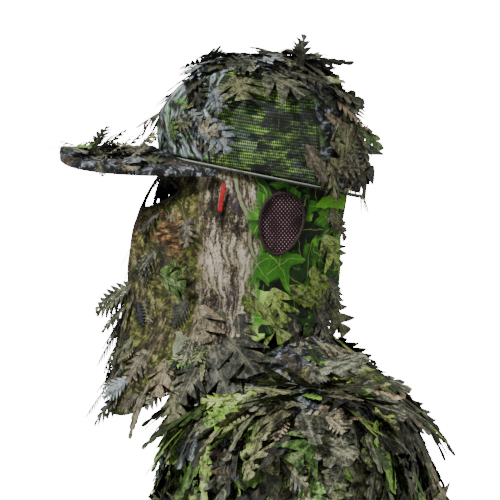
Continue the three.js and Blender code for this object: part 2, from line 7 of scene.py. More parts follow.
import bmesh
import bpy
import numpy as np
from mathutils import Matrix, Vector, noise
from mathutils.bvhtree import BVHTree
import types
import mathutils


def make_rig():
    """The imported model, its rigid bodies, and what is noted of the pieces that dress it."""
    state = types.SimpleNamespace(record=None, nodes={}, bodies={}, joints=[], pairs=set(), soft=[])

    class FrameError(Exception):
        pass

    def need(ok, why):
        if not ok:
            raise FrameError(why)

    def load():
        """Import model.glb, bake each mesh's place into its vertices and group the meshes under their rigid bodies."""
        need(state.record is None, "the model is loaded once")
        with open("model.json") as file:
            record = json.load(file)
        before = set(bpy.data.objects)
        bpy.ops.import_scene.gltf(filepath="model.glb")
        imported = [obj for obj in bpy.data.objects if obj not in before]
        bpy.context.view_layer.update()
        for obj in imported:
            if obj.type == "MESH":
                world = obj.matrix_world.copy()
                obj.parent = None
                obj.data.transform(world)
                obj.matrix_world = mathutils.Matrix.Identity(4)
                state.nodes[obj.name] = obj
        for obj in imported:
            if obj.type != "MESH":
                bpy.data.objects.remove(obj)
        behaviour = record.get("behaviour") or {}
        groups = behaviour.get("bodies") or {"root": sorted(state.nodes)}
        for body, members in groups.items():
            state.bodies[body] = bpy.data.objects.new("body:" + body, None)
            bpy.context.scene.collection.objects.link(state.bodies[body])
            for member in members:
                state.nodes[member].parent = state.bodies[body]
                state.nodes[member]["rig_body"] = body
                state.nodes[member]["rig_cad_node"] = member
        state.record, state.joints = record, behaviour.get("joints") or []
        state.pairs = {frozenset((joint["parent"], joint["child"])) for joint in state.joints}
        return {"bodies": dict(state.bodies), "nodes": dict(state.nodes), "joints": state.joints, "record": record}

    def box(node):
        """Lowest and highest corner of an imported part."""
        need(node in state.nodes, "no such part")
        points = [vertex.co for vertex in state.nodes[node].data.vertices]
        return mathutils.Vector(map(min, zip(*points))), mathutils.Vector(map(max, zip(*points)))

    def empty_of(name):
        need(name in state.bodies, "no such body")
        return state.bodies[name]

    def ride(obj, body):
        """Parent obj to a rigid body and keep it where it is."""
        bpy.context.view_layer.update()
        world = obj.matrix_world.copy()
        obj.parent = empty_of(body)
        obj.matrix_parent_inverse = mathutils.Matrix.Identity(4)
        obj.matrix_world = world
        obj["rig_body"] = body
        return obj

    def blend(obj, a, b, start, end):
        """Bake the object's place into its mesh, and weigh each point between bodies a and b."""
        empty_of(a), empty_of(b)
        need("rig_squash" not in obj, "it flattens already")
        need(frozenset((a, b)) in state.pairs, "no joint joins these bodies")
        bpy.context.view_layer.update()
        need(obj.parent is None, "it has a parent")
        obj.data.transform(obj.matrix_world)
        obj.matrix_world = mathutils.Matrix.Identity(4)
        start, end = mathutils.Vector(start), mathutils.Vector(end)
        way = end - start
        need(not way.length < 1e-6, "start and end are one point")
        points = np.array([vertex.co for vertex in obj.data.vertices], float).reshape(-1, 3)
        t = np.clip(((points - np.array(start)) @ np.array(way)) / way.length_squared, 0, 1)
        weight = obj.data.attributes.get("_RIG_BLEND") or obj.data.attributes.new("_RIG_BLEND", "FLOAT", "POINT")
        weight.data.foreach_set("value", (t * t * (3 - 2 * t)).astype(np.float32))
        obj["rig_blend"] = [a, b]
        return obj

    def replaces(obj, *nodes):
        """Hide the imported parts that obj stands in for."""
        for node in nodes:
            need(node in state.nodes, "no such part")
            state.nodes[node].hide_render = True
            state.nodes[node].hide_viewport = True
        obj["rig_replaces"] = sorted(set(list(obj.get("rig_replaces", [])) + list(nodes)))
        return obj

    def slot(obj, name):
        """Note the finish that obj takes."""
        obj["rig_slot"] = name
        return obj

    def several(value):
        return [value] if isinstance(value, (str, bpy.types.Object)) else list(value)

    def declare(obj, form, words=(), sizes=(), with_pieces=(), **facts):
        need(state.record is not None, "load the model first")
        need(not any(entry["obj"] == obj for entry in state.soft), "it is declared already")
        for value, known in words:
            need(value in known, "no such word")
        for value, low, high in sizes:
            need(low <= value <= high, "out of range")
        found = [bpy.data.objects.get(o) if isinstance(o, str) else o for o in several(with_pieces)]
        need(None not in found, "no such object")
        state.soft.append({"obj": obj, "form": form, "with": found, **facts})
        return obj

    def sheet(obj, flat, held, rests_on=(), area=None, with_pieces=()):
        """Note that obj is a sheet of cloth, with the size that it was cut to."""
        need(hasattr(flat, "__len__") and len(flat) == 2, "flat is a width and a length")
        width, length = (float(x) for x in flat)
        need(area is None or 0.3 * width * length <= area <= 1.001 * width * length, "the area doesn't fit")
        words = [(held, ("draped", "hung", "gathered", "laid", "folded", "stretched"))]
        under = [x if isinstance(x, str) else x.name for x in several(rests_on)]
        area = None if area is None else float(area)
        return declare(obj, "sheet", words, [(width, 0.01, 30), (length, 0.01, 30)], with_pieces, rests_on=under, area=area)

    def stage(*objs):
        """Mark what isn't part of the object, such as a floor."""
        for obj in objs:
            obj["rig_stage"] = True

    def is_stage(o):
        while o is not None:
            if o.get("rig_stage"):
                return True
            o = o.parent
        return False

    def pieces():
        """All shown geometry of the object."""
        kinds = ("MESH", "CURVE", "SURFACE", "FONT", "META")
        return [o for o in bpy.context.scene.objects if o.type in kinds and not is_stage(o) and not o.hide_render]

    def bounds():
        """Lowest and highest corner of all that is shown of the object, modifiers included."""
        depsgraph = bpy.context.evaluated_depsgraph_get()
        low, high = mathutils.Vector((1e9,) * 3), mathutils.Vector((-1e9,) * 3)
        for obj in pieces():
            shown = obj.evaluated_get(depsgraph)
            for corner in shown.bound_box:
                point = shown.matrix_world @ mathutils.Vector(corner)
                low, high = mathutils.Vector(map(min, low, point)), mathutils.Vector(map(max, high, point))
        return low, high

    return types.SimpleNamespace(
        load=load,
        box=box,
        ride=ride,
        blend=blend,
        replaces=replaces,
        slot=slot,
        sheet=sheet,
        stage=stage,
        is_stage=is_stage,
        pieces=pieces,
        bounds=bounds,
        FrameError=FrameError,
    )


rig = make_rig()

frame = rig.load()
cad_box = [list(corner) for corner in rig.bounds()]

# ---------- Sizes, in metres, and angles, in degrees ----------

SIDES = {"left": 1, "right": -1}
HEAD_AXIS_Y = -0.058  # the upright line that the mask is wrapped round
CROWN_CENTRE = Vector((0, -0.040, 0.172))
MASK_ROUND, CROWN_ROUND = 0.62, 0.56  # flat lengths of the mask's and the crown's cloth
CROWN_RADIUS = 0.10
CLOTH = 0.0012  # thickness of a layer of cloth
MASK_SEAM = 78  # from the front, where the mask's face and side panels meet
MESH_FROM, MESH_TO = 57, 127  # the cap's side mesh
CROWN_PANEL_TOP = 55  # how far above level the side panels reach
EAR = {"y": -0.020, "z": 0.113, "half_width": 0.020, "half_height": 0.029, "lean": 12}
EYE = {"x": 0.034, "z": 0.1435, "half_width": 0.0245, "half_height": 0.0150}
ARM_LEAN = math.radians(16)
SHOULDER = Vector((0.196, 0.008, -0.095))
ELBOW = 0.300  # down the arm from the shoulder
ELBOW_HALF = 0.080
ARMHOLE_END = 0.142
RAY = 0.4  # rays towards a wall start this far out
OPENING_STEPS = 40  # points round an ear's or an eye's opening


# ---------- Camera, light and floor ----------


def look_at(thing, place, target):
    thing.location = place
    thing.rotation_euler = (Vector(target) - Vector(place)).to_track_quat("-Z", "Y").to_euler()


def make_camera():
    data = bpy.data.cameras.new("camera")
    data.sensor_width = 36
    distance = 2.2
    field = 0.5  # width of the view, at the suit's middle
    data.lens = data.sensor_width * distance / field
    camera = bpy.data.objects.new("camera", data)
    bpy.context.scene.collection.objects.link(camera)
    rise = math.radians(2)
    target = Vector((0, -0.050, 0.085))
    look_at(camera, target + distance * Vector((math.cos(rise), 0, math.sin(rise))), target)
    bpy.context.scene.camera = camera


def make_light(name, place, target, size, power):
    data = bpy.data.lights.new(name, "AREA")
    data.size = size
    data.energy = power
    lamp = bpy.data.objects.new(name, data)
    bpy.context.scene.collection.objects.link(lamp)
    look_at(lamp, place, target)


def make_studio():
    middle = (0, -0.03, 0.0)
    make_light("key_light", (1.6, -1.5, 1.9), middle, 0.45, 118)
    make_light("side_light", (1.9, 1.4, 0.9), middle, 1.2, 15)
    make_light("far_side_light", (-2.0, -0.6, 1.2), middle, 1.6, 16)
    make_light("back_light", (-0.6, 2.2, 1.3), middle, 1.6, 22)

    world = bpy.data.worlds.new("studio")
    bpy.context.scene.world = world
    world.use_nodes = True
    tree = world.node_tree
    tree.nodes.clear()
    sky = add(tree, "Background", {"Color": (1, 1, 1, 1), "Strength": 0.13}, out=None)
    seen = add(tree, "Background", {"Color": (1, 1, 1, 1), "Strength": 18.0}, out=None)
    path = add(tree, "LightPath", out=None)
    both = add(tree, "MixShader", {
        0: path.outputs["Is Camera Ray"], 1: sky.outputs[0], 2: seen.outputs[0],
    }, out=None)
    add(tree, "OutputWorld", {"Surface": both.outputs[0]}, out=None)

    bm = bmesh.new()
    bmesh.ops.create_grid(bm, x_segments=1, y_segments=1, size=3)
    bmesh.ops.translate(bm, verts=bm.verts, vec=(0, 0, cad_box[0][2] - 0.02))
    floor = finished(bm, "floor", material("pale_floor"))
    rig.stage(floor)


# ---------- Materials ----------


def srgb(value):
    """A #rrggbb colour as linear light."""
    parts = [int(value[i : i + 2], 16) / 255 for i in (1, 3, 5)]
    return tuple(p / 12.92 if p <= 0.04045 else ((p + 0.055) / 1.055) ** 2.4 for p in parts) + (1.0,)


def add(tree, kind, inputs=(), out=0, stops=None, interpolation="LINEAR", **settings):
    """Adds a node with its settings, the stops of its colour ramp, and its values or links by name or
    by place. Gives the output asked for, or the node itself where `out` is None."""
    made = tree.nodes.new("ShaderNode" + kind)
    for key, value in settings.items():
        setattr(made, key, value)
    if stops:
        made.color_ramp.interpolation = interpolation
        elements = made.color_ramp.elements
        while len(elements) < len(stops):
            elements.new(0.5)
        for element, (place, colour) in zip(elements, stops):
            element.position = place
            element.color = srgb(colour) if isinstance(colour, str) else (colour, colour, colour, 1)
    for key, value in inputs.items() if isinstance(inputs, dict) else enumerate(inputs):
        if isinstance(value, bpy.types.NodeSocket):
            tree.links.new(value, made.inputs[key])
        else:
            made.inputs[key].default_value = value
    return made if out is None else made.outputs[out]


def over(tree, colour, other, *masks, blend="MIX"):
    """Lays another colour over a colour where all the masks are. A mask is a value, or a soft step
    given as (value, where it is 0, where it is 1)."""
    share = None
    for mask in masks:
        if isinstance(mask, tuple):
            mask = add(tree, "MapRange", mask, interpolation_type="SMOOTHSTEP")
        share = mask if share is None else add(tree, "Math", (share, mask), operation="MULTIPLY")
    return add(tree, "Mix", {0: share, 6: colour, 7: other}, out=2, data_type="RGBA", blend_type=blend)


def surface(name, roughness, metallic=0.0):
    """A material with its tree and its shader, wired to the output and still one colour."""
    made = bpy.data.materials.new(name)
    made.use_nodes = True
    tree = made.node_tree
    tree.nodes.clear()
    inputs = {"Roughness": roughness, "Metallic": metallic, "IOR": 1.4}
    shader = add(tree, "BsdfPrincipled", inputs, out=None)
    add(tree, "OutputMaterial", {"Surface": shader.outputs[0]}, out=None)
    return made, tree, shader


def coated(tree, shader, colour, height=None, distance=0.0):
    """Gives a surface its colour, and a relief `distance` metres high where there is one."""
    tree.links.new(colour, shader.inputs["Base Color"])
    if height is not None:
        relief = add(tree, "Bump", {"Height": height, "Distance": distance})
        tree.links.new(relief, shader.inputs["Normal"])


def grained(name, roughness, scale, detail, stops, relief=0.0, metallic=0.0, gloss=None):
    """A material of two colours mottled by a fine noise, which also makes its relief and, where
    `gloss` gives the stops, its roughness."""
    made, tree, shader = surface(name, roughness, metallic)
    place = add(tree, "TexCoord", out="Object")
    grain = add(tree, "TexNoise", {"Vector": place, "Scale": scale, "Detail": detail, "Roughness": 0.55})
    if gloss:
        tree.links.new(add(tree, "ValToRGB", (grain,), stops=gloss), shader.inputs["Roughness"])
    coated(tree, shader, add(tree, "ValToRGB", (grain,), stops=stops), grain if relief else None, relief)
    return made


def woven(tree, vector, thread):
    """The height of a plain weave, with its threads `thread` metres apart."""
    parts = add(tree, "SeparateXYZ", (vector,), out=None).outputs
    turn = 2 * math.pi / thread
    waves = [
        add(tree, "Math", (add(tree, "Math", (parts[i], turn), operation="MULTIPLY"),), operation="SINE")
        for i in range(2)
    ]
    return add(tree, "Math", waves, operation="MULTIPLY")


def leaf_layer(tree, vector, cell, shift, palette, lobes=5, long=1.0):
    """Printed lobed leaves, one in each cell of that size, each painted darker at its middle and lighter
    towards its edge. Gives where they are, the painted shadow in a ring round each leaf, and their colour."""
    placed = add(tree, "Mapping", {
        "Vector": vector, "Location": (*shift, 0), "Scale": (1 / cell, 1 / cell, 1),
    })
    wobble = add(tree, "TexNoise", {"Vector": placed, "Scale": 3.0, "Detail": 2.0}, out="Color")
    wobble = add(tree, "VectorMath", (wobble, (0.22, 0.22, 0)), operation="MULTIPLY")
    bent = add(tree, "VectorMath", (placed, wobble), operation="ADD")
    cells = add(tree, "TexVoronoi", {
        "Vector": bent, "Scale": 1.0, "Randomness": 0.85,
    }, out=None, voronoi_dimensions="2D", feature="F1")
    local = add(tree, "VectorMath", (bent, cells.outputs["Position"]), operation="SUBTRACT")
    chance = add(tree, "SeparateXYZ", {0: cells.outputs["Color"]}, out=None).outputs
    turned = add(tree, "VectorRotate", {
        "Vector": local, "Angle": add(tree, "Math", (chance[0], 2 * math.pi), operation="MULTIPLY"),
    }, rotation_type="Z_AXIS")
    parts = add(tree, "SeparateXYZ", (turned,), out=None).outputs
    across = add(tree, "Math", (parts[1], long), operation="MULTIPLY")
    angle = add(tree, "Math", (across, parts[0]), operation="ARCTAN2")
    radius = add(tree, "Math", (
        add(tree, "Math", (
            add(tree, "Math", (parts[0], parts[0]), operation="MULTIPLY"),
            add(tree, "Math", (across, across), operation="MULTIPLY"),
        ), operation="ADD"),
    ), operation="SQRT")
    half_turn = add(tree, "Math", (angle, lobes / 2), operation="MULTIPLY")
    notch = add(tree, "Math", (add(tree, "Math", (half_turn,), operation="SINE"),), operation="ABSOLUTE")
    reach = add(tree, "Math", (
        add(tree, "Math", (notch, 0.8), operation="POWER"), -0.46, 0.74
    ), operation="MULTIPLY_ADD")
    inside = add(tree, "Math", (reach, radius), operation="SUBTRACT")
    leaf = add(tree, "Math", (inside, 30.0), operation="MULTIPLY", use_clamp=True)
    # painted shadow: a dark ring just outside each leaf's edge
    shade = add(tree, "Math", (inside, 7.0, 1.0), operation="MULTIPLY_ADD", use_clamp=True)
    vein = add(tree, "Math", (notch, radius), operation="MULTIPLY")
    vein = add(tree, "Math", (
        1.0, add(tree, "Math", (vein, 32.0), operation="MULTIPLY", use_clamp=True)
    ), operation="SUBTRACT")
    side_vein = add(tree, "Math", (
        add(tree, "Math", (
            add(tree, "Math", (
                radius, add(tree, "Math", (notch, -0.35), operation="MULTIPLY")
            ), operation="ADD"),
            70.0,
        ), operation="MULTIPLY"),
    ), operation="SINE")
    speckle = add(tree, "TexNoise", {"Vector": placed, "Scale": 9.0, "Detail": 4.0, "Roughness": 0.6})
    tone = add(tree, "Math", (
        speckle, 0.3, add(tree, "Math", (chance[1], 0.9, -0.12), operation="MULTIPLY_ADD")
    ), operation="MULTIPLY_ADD")
    colour = add(tree, "ValToRGB", (tone,), stops=palette)
    # painted light and shade: each leaf is darker at its middle and lighter towards its edge
    painted_light_and_shade = add(tree, "Math", (radius, 1.2, 0.55), operation="MULTIPLY_ADD")
    colour = over(
        tree, colour, add(tree, "CombineColor", (painted_light_and_shade, painted_light_and_shade, painted_light_and_shade)), 1.0, blend="MULTIPLY"
    )
    colour = over(tree, colour, srgb("#0c1606"), (side_vein, 0.2, 0.9), 0.28)
    colour = over(tree, colour, srgb("#9fb45c"), vein, 0.55)
    return leaf, shade, colour


def bark_print(tree, vector):
    """Photographic tree bark: rough upright plates with dark fissures, grain 2 to 5 mm across."""
    pulled = add(tree, "TexNoise", {"Vector": vector, "Scale": 16.0, "Detail": 3.0, "Roughness": 0.55})
    pulled = add(tree, "Math", (pulled, 0.034, -0.017), operation="MULTIPLY_ADD")
    pulled = add(tree, "CombineXYZ", (pulled, 0.0, 0.0))
    bent = add(tree, "VectorMath", (vector, pulled), operation="ADD")

    def stretched(across, along):
        return add(tree, "Mapping", {"Vector": bent, "Scale": (across, along, 1.0)})

    streaks = add(tree, "TexNoise", {
        "Vector": stretched(270.0, 62.0), "Scale": 1.0, "Detail": 8.0, "Roughness": 0.75,
    })
    plates = add(tree, "TexNoise", {
        "Vector": stretched(80.0, 20.0), "Scale": 1.0, "Detail": 5.0, "Roughness": 0.65,
    })
    grain = add(tree, "TexNoise", {"Vector": vector, "Scale": 420.0, "Detail": 4.0, "Roughness": 0.75})
    both = add(tree, "Math", (
        plates, 0.42, add(tree, "Math", (streaks, 0.34), operation="MULTIPLY")
    ), operation="MULTIPLY_ADD")
    both = add(tree, "Math", (grain, 0.24, both), operation="MULTIPLY_ADD")
    stops = [(0.43, "#040302"), (0.468, "#261f17"), (0.5, "#655b4a"), (0.535, "#a99d88"), (0.59, "#d0c7b6")]
    colour = add(tree, "ValToRGB", (both,), stops=stops)
    cells = {"Vector": stretched(62.0, 17.0), "Scale": 1.0}
    edges = add(
        tree, "TexVoronoi", cells, out="Distance", voronoi_dimensions="2D", feature="DISTANCE_TO_EDGE"
    )
    gap = add(tree, "Math", (
        1.0, add(tree, "Math", (edges, 11.0), operation="MULTIPLY", use_clamp=True)
    ), operation="SUBTRACT")
    colour = over(tree, colour, srgb("#120e0a"), gap, (
        add(tree, "TexNoise", {"Vector": vector, "Scale": 60.0, "Detail": 3.0, "Roughness": 0.55}), 0.42,
        0.58,
    ), 0.85)
    tint = add(tree, "TexNoise", {"Vector": vector, "Scale": 24.0, "Detail": 3.0, "Roughness": 0.55})
    colour = over(
        tree, colour, srgb("#5d5060"),
        add(tree, "Math", (tint, 6.0, -3.0), operation="MULTIPLY_ADD", use_clamp=True), 0.3,
    )
    return (
        over(
            tree, colour, srgb("#3c2a1a"),
            add(tree, "Math", (tint, -6.0, 2.7), operation="MULTIPLY_ADD", use_clamp=True), 0.35,
        ),
        both,
    )


GREEN_LEAVES = [
    (0.05, "#0a1606"), (0.25, "#1c430e"), (0.48, "#377a18"), (0.68, "#66b22a"), (0.9, "#a9dc66"),
]
DARK_LEAVES = [(0.05, "#0b0d09"), (0.3, "#22281c"), (0.5, "#3f4632"), (0.68, "#635c48"), (0.9, "#6a7580")]
TWIG_LEAVES = [(0.05, "#15170a"), (0.3, "#383b16"), (0.5, "#5a5e26"), (0.7, "#7f8040"), (0.9, "#7d826e")]


def bark_print_polyester():
    # Brushed polyester with a photographic print: bark at the front and cheek, moss and twigs between
    # them, and bright leaves from the ear to the nape. Matt, with a fine knit.
    made, tree, shader = surface("bark_print_polyester", 0.88)
    cloth = add(tree, "UVMap", uv_map="cloth")
    place = add(tree, "TexCoord", out="Object")
    along = add(tree, "SeparateXYZ", (place,), out=None).outputs
    wander = add(tree, "TexNoise", {"Vector": place, "Scale": 26.0, "Detail": 4.0, "Roughness": 0.6})
    depth = add(tree, "Math", (
        wander, 0.05, add(tree, "Math", (along[1], 0.025), operation="SUBTRACT")
    ), operation="MULTIPLY_ADD")
    bark, height = bark_print(tree, cloth)
    # moss and small twigs over the bark
    moss = add(tree, "TexNoise", {"Vector": cloth, "Scale": 150.0, "Detail": 8.0, "Roughness": 0.8})
    moss_colour = add(
        tree, "ValToRGB", (moss,),
        stops=[
            (0.38, "#080904"), (0.46, "#24270f"), (0.51, "#474b1e"), (0.57, "#777838"), (0.66, "#aba476"),
        ],
    )
    front = add(tree, "MapRange", (depth, -0.088, -0.112), interpolation_type="SMOOTHSTEP")
    # brown litter in a band below the eyes, and an olive tint over the whole front
    litter = add(tree, "TexNoise", {
        "Vector": add(tree, "Mapping", {"Vector": cloth, "Scale": (90.0, 260.0, 1.0)}), "Scale": 1.0,
        "Detail": 8.0, "Roughness": 0.75,
    })
    litter_colour = add(
        tree, "ValToRGB", (litter,),
        stops=[(0.4, "#080604"), (0.47, "#33200f"), (0.53, "#6b4a26"), (0.6, "#a08658")],
    )
    band = add(tree, "Math", (
        add(tree, "MapRange", (along[2], 0.072, 0.092), interpolation_type="SMOOTHSTEP"),
        add(tree, "MapRange", (along[2], 0.15, 0.12), interpolation_type="SMOOTHSTEP"),
    ), operation="MULTIPLY")
    band = add(tree, "Math", (
        band,
        add(tree, "MapRange", (
            add(tree, "TexNoise", {"Vector": cloth, "Scale": 44.0, "Detail": 4.0, "Roughness": 0.6}), 0.44,
            0.52,
        ), interpolation_type="SMOOTHSTEP"),
    ), operation="MULTIPLY")
    bark = over(tree, bark, over(tree, bark, srgb("#9a9c50"), 1.0, blend="MULTIPLY"), front, 0.75)
    bark = over(tree, bark, litter_colour, band, front)
    colour = over(tree, bark, moss_colour, (
        add(tree, "TexNoise", {"Vector": cloth, "Scale": 34.0, "Detail": 5.0, "Roughness": 0.65}), 0.45,
        0.55,
    ), add(tree, "Math", (front, 0.75, 0.2), operation="MULTIPLY_ADD"))
    twig_leaf, _, twig_colour = leaf_layer(tree, cloth, 0.030, (0.3, 0.7), TWIG_LEAVES, 3, 1.8)
    colour = over(tree, colour, twig_colour, twig_leaf, front, (
        add(tree, "TexNoise", {"Vector": cloth, "Scale": 18.0, "Detail": 3.0, "Roughness": 0.55}), 0.5, 0.56
    ))
    # painted shade: dark patches at the front, as shade in the hollows between the twigs
    colour = over(tree, colour, srgb("#0c0d06"), (
        add(tree, "TexNoise", {"Vector": cloth, "Scale": 52.0, "Detail": 5.0, "Roughness": 0.65}), 0.5, 0.57
    ), front, 0.7)
    # a pale green stem over the bark, 4 mm wide, that leans back as it falls
    lean = add(tree, "Math", (
        along[2], -0.25, add(tree, "Math", (wander, 0.018, -0.0335), operation="MULTIPLY_ADD")
    ), operation="MULTIPLY_ADD")
    off = add(tree, "Math", (
        add(tree, "Math", (along[1], lean), operation="SUBTRACT"),
    ), operation="ABSOLUTE")
    stem = add(tree, "MapRange", (off, 0.0024, 0.0014), interpolation_type="SMOOTHSTEP")
    stem = add(tree, "Math", (
        stem, add(tree, "MapRange", (along[2], 0.074, 0.08), interpolation_type="SMOOTHSTEP")
    ), operation="MULTIPLY")
    rim = add(tree, "MapRange", (off, 0.005, 0.0022), interpolation_type="SMOOTHSTEP")
    rim = add(tree, "Math", (
        rim, add(tree, "MapRange", (along[2], 0.074, 0.08), interpolation_type="SMOOTHSTEP")
    ), operation="MULTIPLY")
    colour = over(tree, colour, srgb("#0d0a07"), rim, 0.7)
    colour = over(tree, colour, over(tree, srgb("#4a4f30"), srgb("#9a9f78"), moss), stem)
    # bright leaves behind the cheek
    ground = add(tree, "ValToRGB", (
        add(tree, "TexNoise", {"Vector": cloth, "Scale": 70.0, "Detail": 4.0, "Roughness": 0.6}),
    ), stops=[(0.4, "#020301"), (0.55, "#0c1606"), (0.7, "#284214")])
    leaves = ground
    for cell, shift in ((0.040, (0.1, 0.4)), (0.060, (0.65, 0.2)), (0.052, (0.35, 0.85))):
        leaf, shade, leaf_colour = leaf_layer(tree, cloth, cell, shift, GREEN_LEAVES)
        # painted shadow: the ground is darkened in a ring round each leaf
        leaves = over(
            tree, leaves, srgb("#050803"), add(tree, "Math", (1.0, leaf), operation="SUBTRACT"), shade, 0.75
        )
        leaves = over(tree, leaves, leaf_colour, leaf)
    colour = over(tree, colour, leaves, (depth, -0.052, -0.04))
    knit = woven(tree, cloth, 0.0016)
    coated(tree, shader, colour, add(tree, "Math", (knit, 0.12, height), operation="MULTIPLY_ADD"), 0.0006)
    return made


def printed_polyester_mesh():
    # Open printed mesh: upright oval holes, 1.9 mm apart along a row and 3.2 mm from row to row, are painted
    # near black: painted shade, for the inside of the cap seen through them. The rows fall a little towards the nape.
    made, tree, shader = surface("printed_polyester_mesh", 0.8)
    cloth = add(tree, "UVMap", uv_map="cloth")
    ground = add(tree, "ValToRGB", (
        add(tree, "TexNoise", {
            "Vector": add(tree, "Mapping", {"Vector": cloth, "Scale": (34.0, 80.0, 1.0)}), "Scale": 1.0,
            "Detail": 5.0, "Roughness": 0.65,
        }),
    ), stops=[(0.38, "#0c100c"), (0.45, "#2b3820"), (0.5, "#3c3a48"), (0.55, "#6a9a34"), (0.62, "#a3c46a")])
    colour = ground
    for cell, shift, palette in ((0.044, (0.7, 0.5), GREEN_LEAVES), (0.036, (0.2, 0.1), DARK_LEAVES)):
        leaf, _, leaf_colour = leaf_layer(tree, cloth, cell, shift, palette)
        colour = over(tree, colour, leaf_colour, leaf, 0.45)
    fine = add(tree, "TexNoise", {"Vector": cloth, "Scale": 300.0, "Detail": 4.0, "Roughness": 0.7})
    colour = over(tree, colour, srgb("#0d0f12"), (fine, 0.5, 0.58), 0.5)
    slant = add(tree, "Mapping", {
        "Vector": cloth, "Rotation": (0, 0, math.radians(-8)), "Scale": (0.0019, 0.0032, 1),
    }, vector_type="TEXTURE")
    holes = add(tree, "TexVoronoi", {
        "Vector": slant, "Scale": 1.0, "Randomness": 0.0,
    }, out="Distance", voronoi_dimensions="2D")
    # painted shade: the holes are drawn near black, as the shaded inside of the cap
    open_hole = add(tree, "MapRange", (holes, 0.42, 0.3), interpolation_type="SMOOTHSTEP")
    colour = over(tree, colour, srgb("#050604"), open_hole, 0.95)
    coated(tree, shader, colour, add(tree, "Math", (1.0, open_hole), operation="SUBTRACT"), 0.0008)
    return made


def black_knitted_mesh():
    # Black warp-knit mesh with round holes 3 mm apart, over a dull red lining.
    made, tree, shader = surface("black_knitted_mesh", 0.75)
    cloth = add(tree, "UVMap", uv_map="cloth")
    pitch = 0.003
    slant = add(tree, "Mapping", {
        "Vector": cloth, "Rotation": (0, 0, math.radians(45)), "Scale": (1 / pitch, 1 / pitch, 1),
    })
    holes = add(tree, "TexVoronoi", {
        "Vector": slant, "Scale": 1.0, "Randomness": 0.0,
    }, out="Distance", voronoi_dimensions="2D")
    dot = add(tree, "MapRange", (holes, 0.27, 0.16), interpolation_type="SMOOTHSTEP")
    lining = add(tree, "ValToRGB", (
        add(tree, "TexNoise", {"Vector": cloth, "Scale": 40.0, "Detail": 3.0, "Roughness": 0.55}),
    ), stops=[(0.38, "#5a2836"), (0.58, "#c88f9c")])
    colour = over(tree, srgb("#0a0306"), lining, dot)
    coated(tree, shader, colour, add(tree, "Math", (1.0, dot), operation="SUBTRACT"), 0.0006)
    return made


def leafy_base_cloth():
    # The ground cloth under the cut leaves: dull printed polyester, with patches of grey bark, of
    # dark leaves and of green, each a few centimetres across.
    made, tree, shader = surface("leafy_base_cloth", 0.9)
    place = add(tree, "TexCoord", out="Object")
    blotches = add(tree, "TexNoise", {
        "Vector": place, "Scale": 105.0, "Detail": 8.0, "Roughness": 0.78, "Distortion": 0.8,
    })
    stops = [(0.40, "#040504"), (0.46, "#12150e"), (0.50, "#2d2f2c"), (0.54, "#5a5e62"), (0.61, "#9aa5b0")]
    colour = add(tree, "ValToRGB", (blotches,), stops=stops)
    patch = add(tree, "TexNoise", {
        "Vector": add(tree, "Mapping", {"Vector": place, "Location": (3, 1, 2)}), "Scale": 22.0,
        "Detail": 4.0, "Roughness": 0.55,
    })
    fine = add(tree, "TexNoise", {"Vector": place, "Scale": 210.0, "Detail": 5.0, "Roughness": 0.7})
    colour = over(
        tree, colour,
        add(tree, "ValToRGB", (fine,), stops=[(0.42, "#0d1407"), (0.5, "#2f4714"), (0.6, "#5f8a2a")]),
        (patch, 0.55, 0.62), 0.75,
    )
    colour = over(
        tree, colour,
        add(tree, "ValToRGB", (fine,), stops=[(0.42, "#140f0a"), (0.5, "#433625"), (0.6, "#7c6a4e")]),
        (patch, 0.43, 0.36), 0.7,
    )
    colour = over(tree, colour, srgb("#06070a"), (fine, 0.51, 0.57), 0.55)
    coated(tree, shader, colour, add(tree, "Math", (fine, 0.5, blotches), operation="MULTIPLY_ADD"), 0.001)
    return made


def grey_bark_cloth():
    # The cap's front panel: polyester printed with blue-grey bark, in streaks that rise and lean back,
    # with flecks of green and rust.
    made, tree, shader = surface("grey_bark_cloth", 0.85)
    cloth = add(tree, "UVMap", uv_map="cloth")
    bend = add(tree, "TexNoise", {"Vector": cloth, "Scale": 20.0, "Detail": 3.0, "Roughness": 0.55})
    bend = add(tree, "CombineXYZ", {
        0: add(tree, "Math", (bend, 0.05), operation="MULTIPLY"),
        1: add(tree, "Math", (bend, 0.02), operation="MULTIPLY"), 2: 0.0,
    })
    bent = add(tree, "VectorMath", (cloth, bend), operation="ADD")
    leaning = add(tree, "VectorRotate", {
        "Vector": bent, "Angle": math.radians(-35),
    }, rotation_type="Z_AXIS")
    streaks = add(tree, "TexNoise", {
        "Vector": add(tree, "Mapping", {"Vector": leaning, "Scale": (150.0, 40.0, 1.0)}), "Scale": 1.0,
        "Detail": 7.0, "Roughness": 0.7,
    })
    stops = [(0.40, "#060806"), (0.46, "#262d28"), (0.51, "#5d6866"), (0.56, "#8d989c"), (0.64, "#c3cbd0")]
    colour = add(tree, "ValToRGB", (streaks,), stops=stops)
    flecks = add(tree, "TexNoise", {"Vector": cloth, "Scale": 95.0, "Detail": 5.0, "Roughness": 0.65})
    colour = over(tree, colour, srgb("#4f8a1e"), (flecks, 0.57, 0.6), 0.8)
    colour = over(tree, colour, srgb("#7a4a22"), (flecks, 0.37, 0.34))
    # painted shade: dark patches about 3 cm across
    shade = add(tree, "TexNoise", {"Vector": cloth, "Scale": 30.0, "Detail": 3.0, "Roughness": 0.6})
    colour = over(tree, colour, srgb("#14180f"), (shade, 0.52, 0.62), 0.7)
    coated(tree, shader, colour, streaks, 0.0010)
    return made


LEAF_TONES = [
    (0.00, "#1d2017"),
    (0.10, "#2c3122"),
    (0.24, "#474d36"),
    (0.38, "#62663a"),
    (0.50, "#655c48"),
    (0.60, "#877658"),
    (0.66, "#4a4e42"),
    (0.77, "#68747f"),
    (0.82, "#52622f"),
    (0.87, "#44741a"),
    (0.91, "#7d9a2c"),
    (0.96, "#74ad2c"),
]


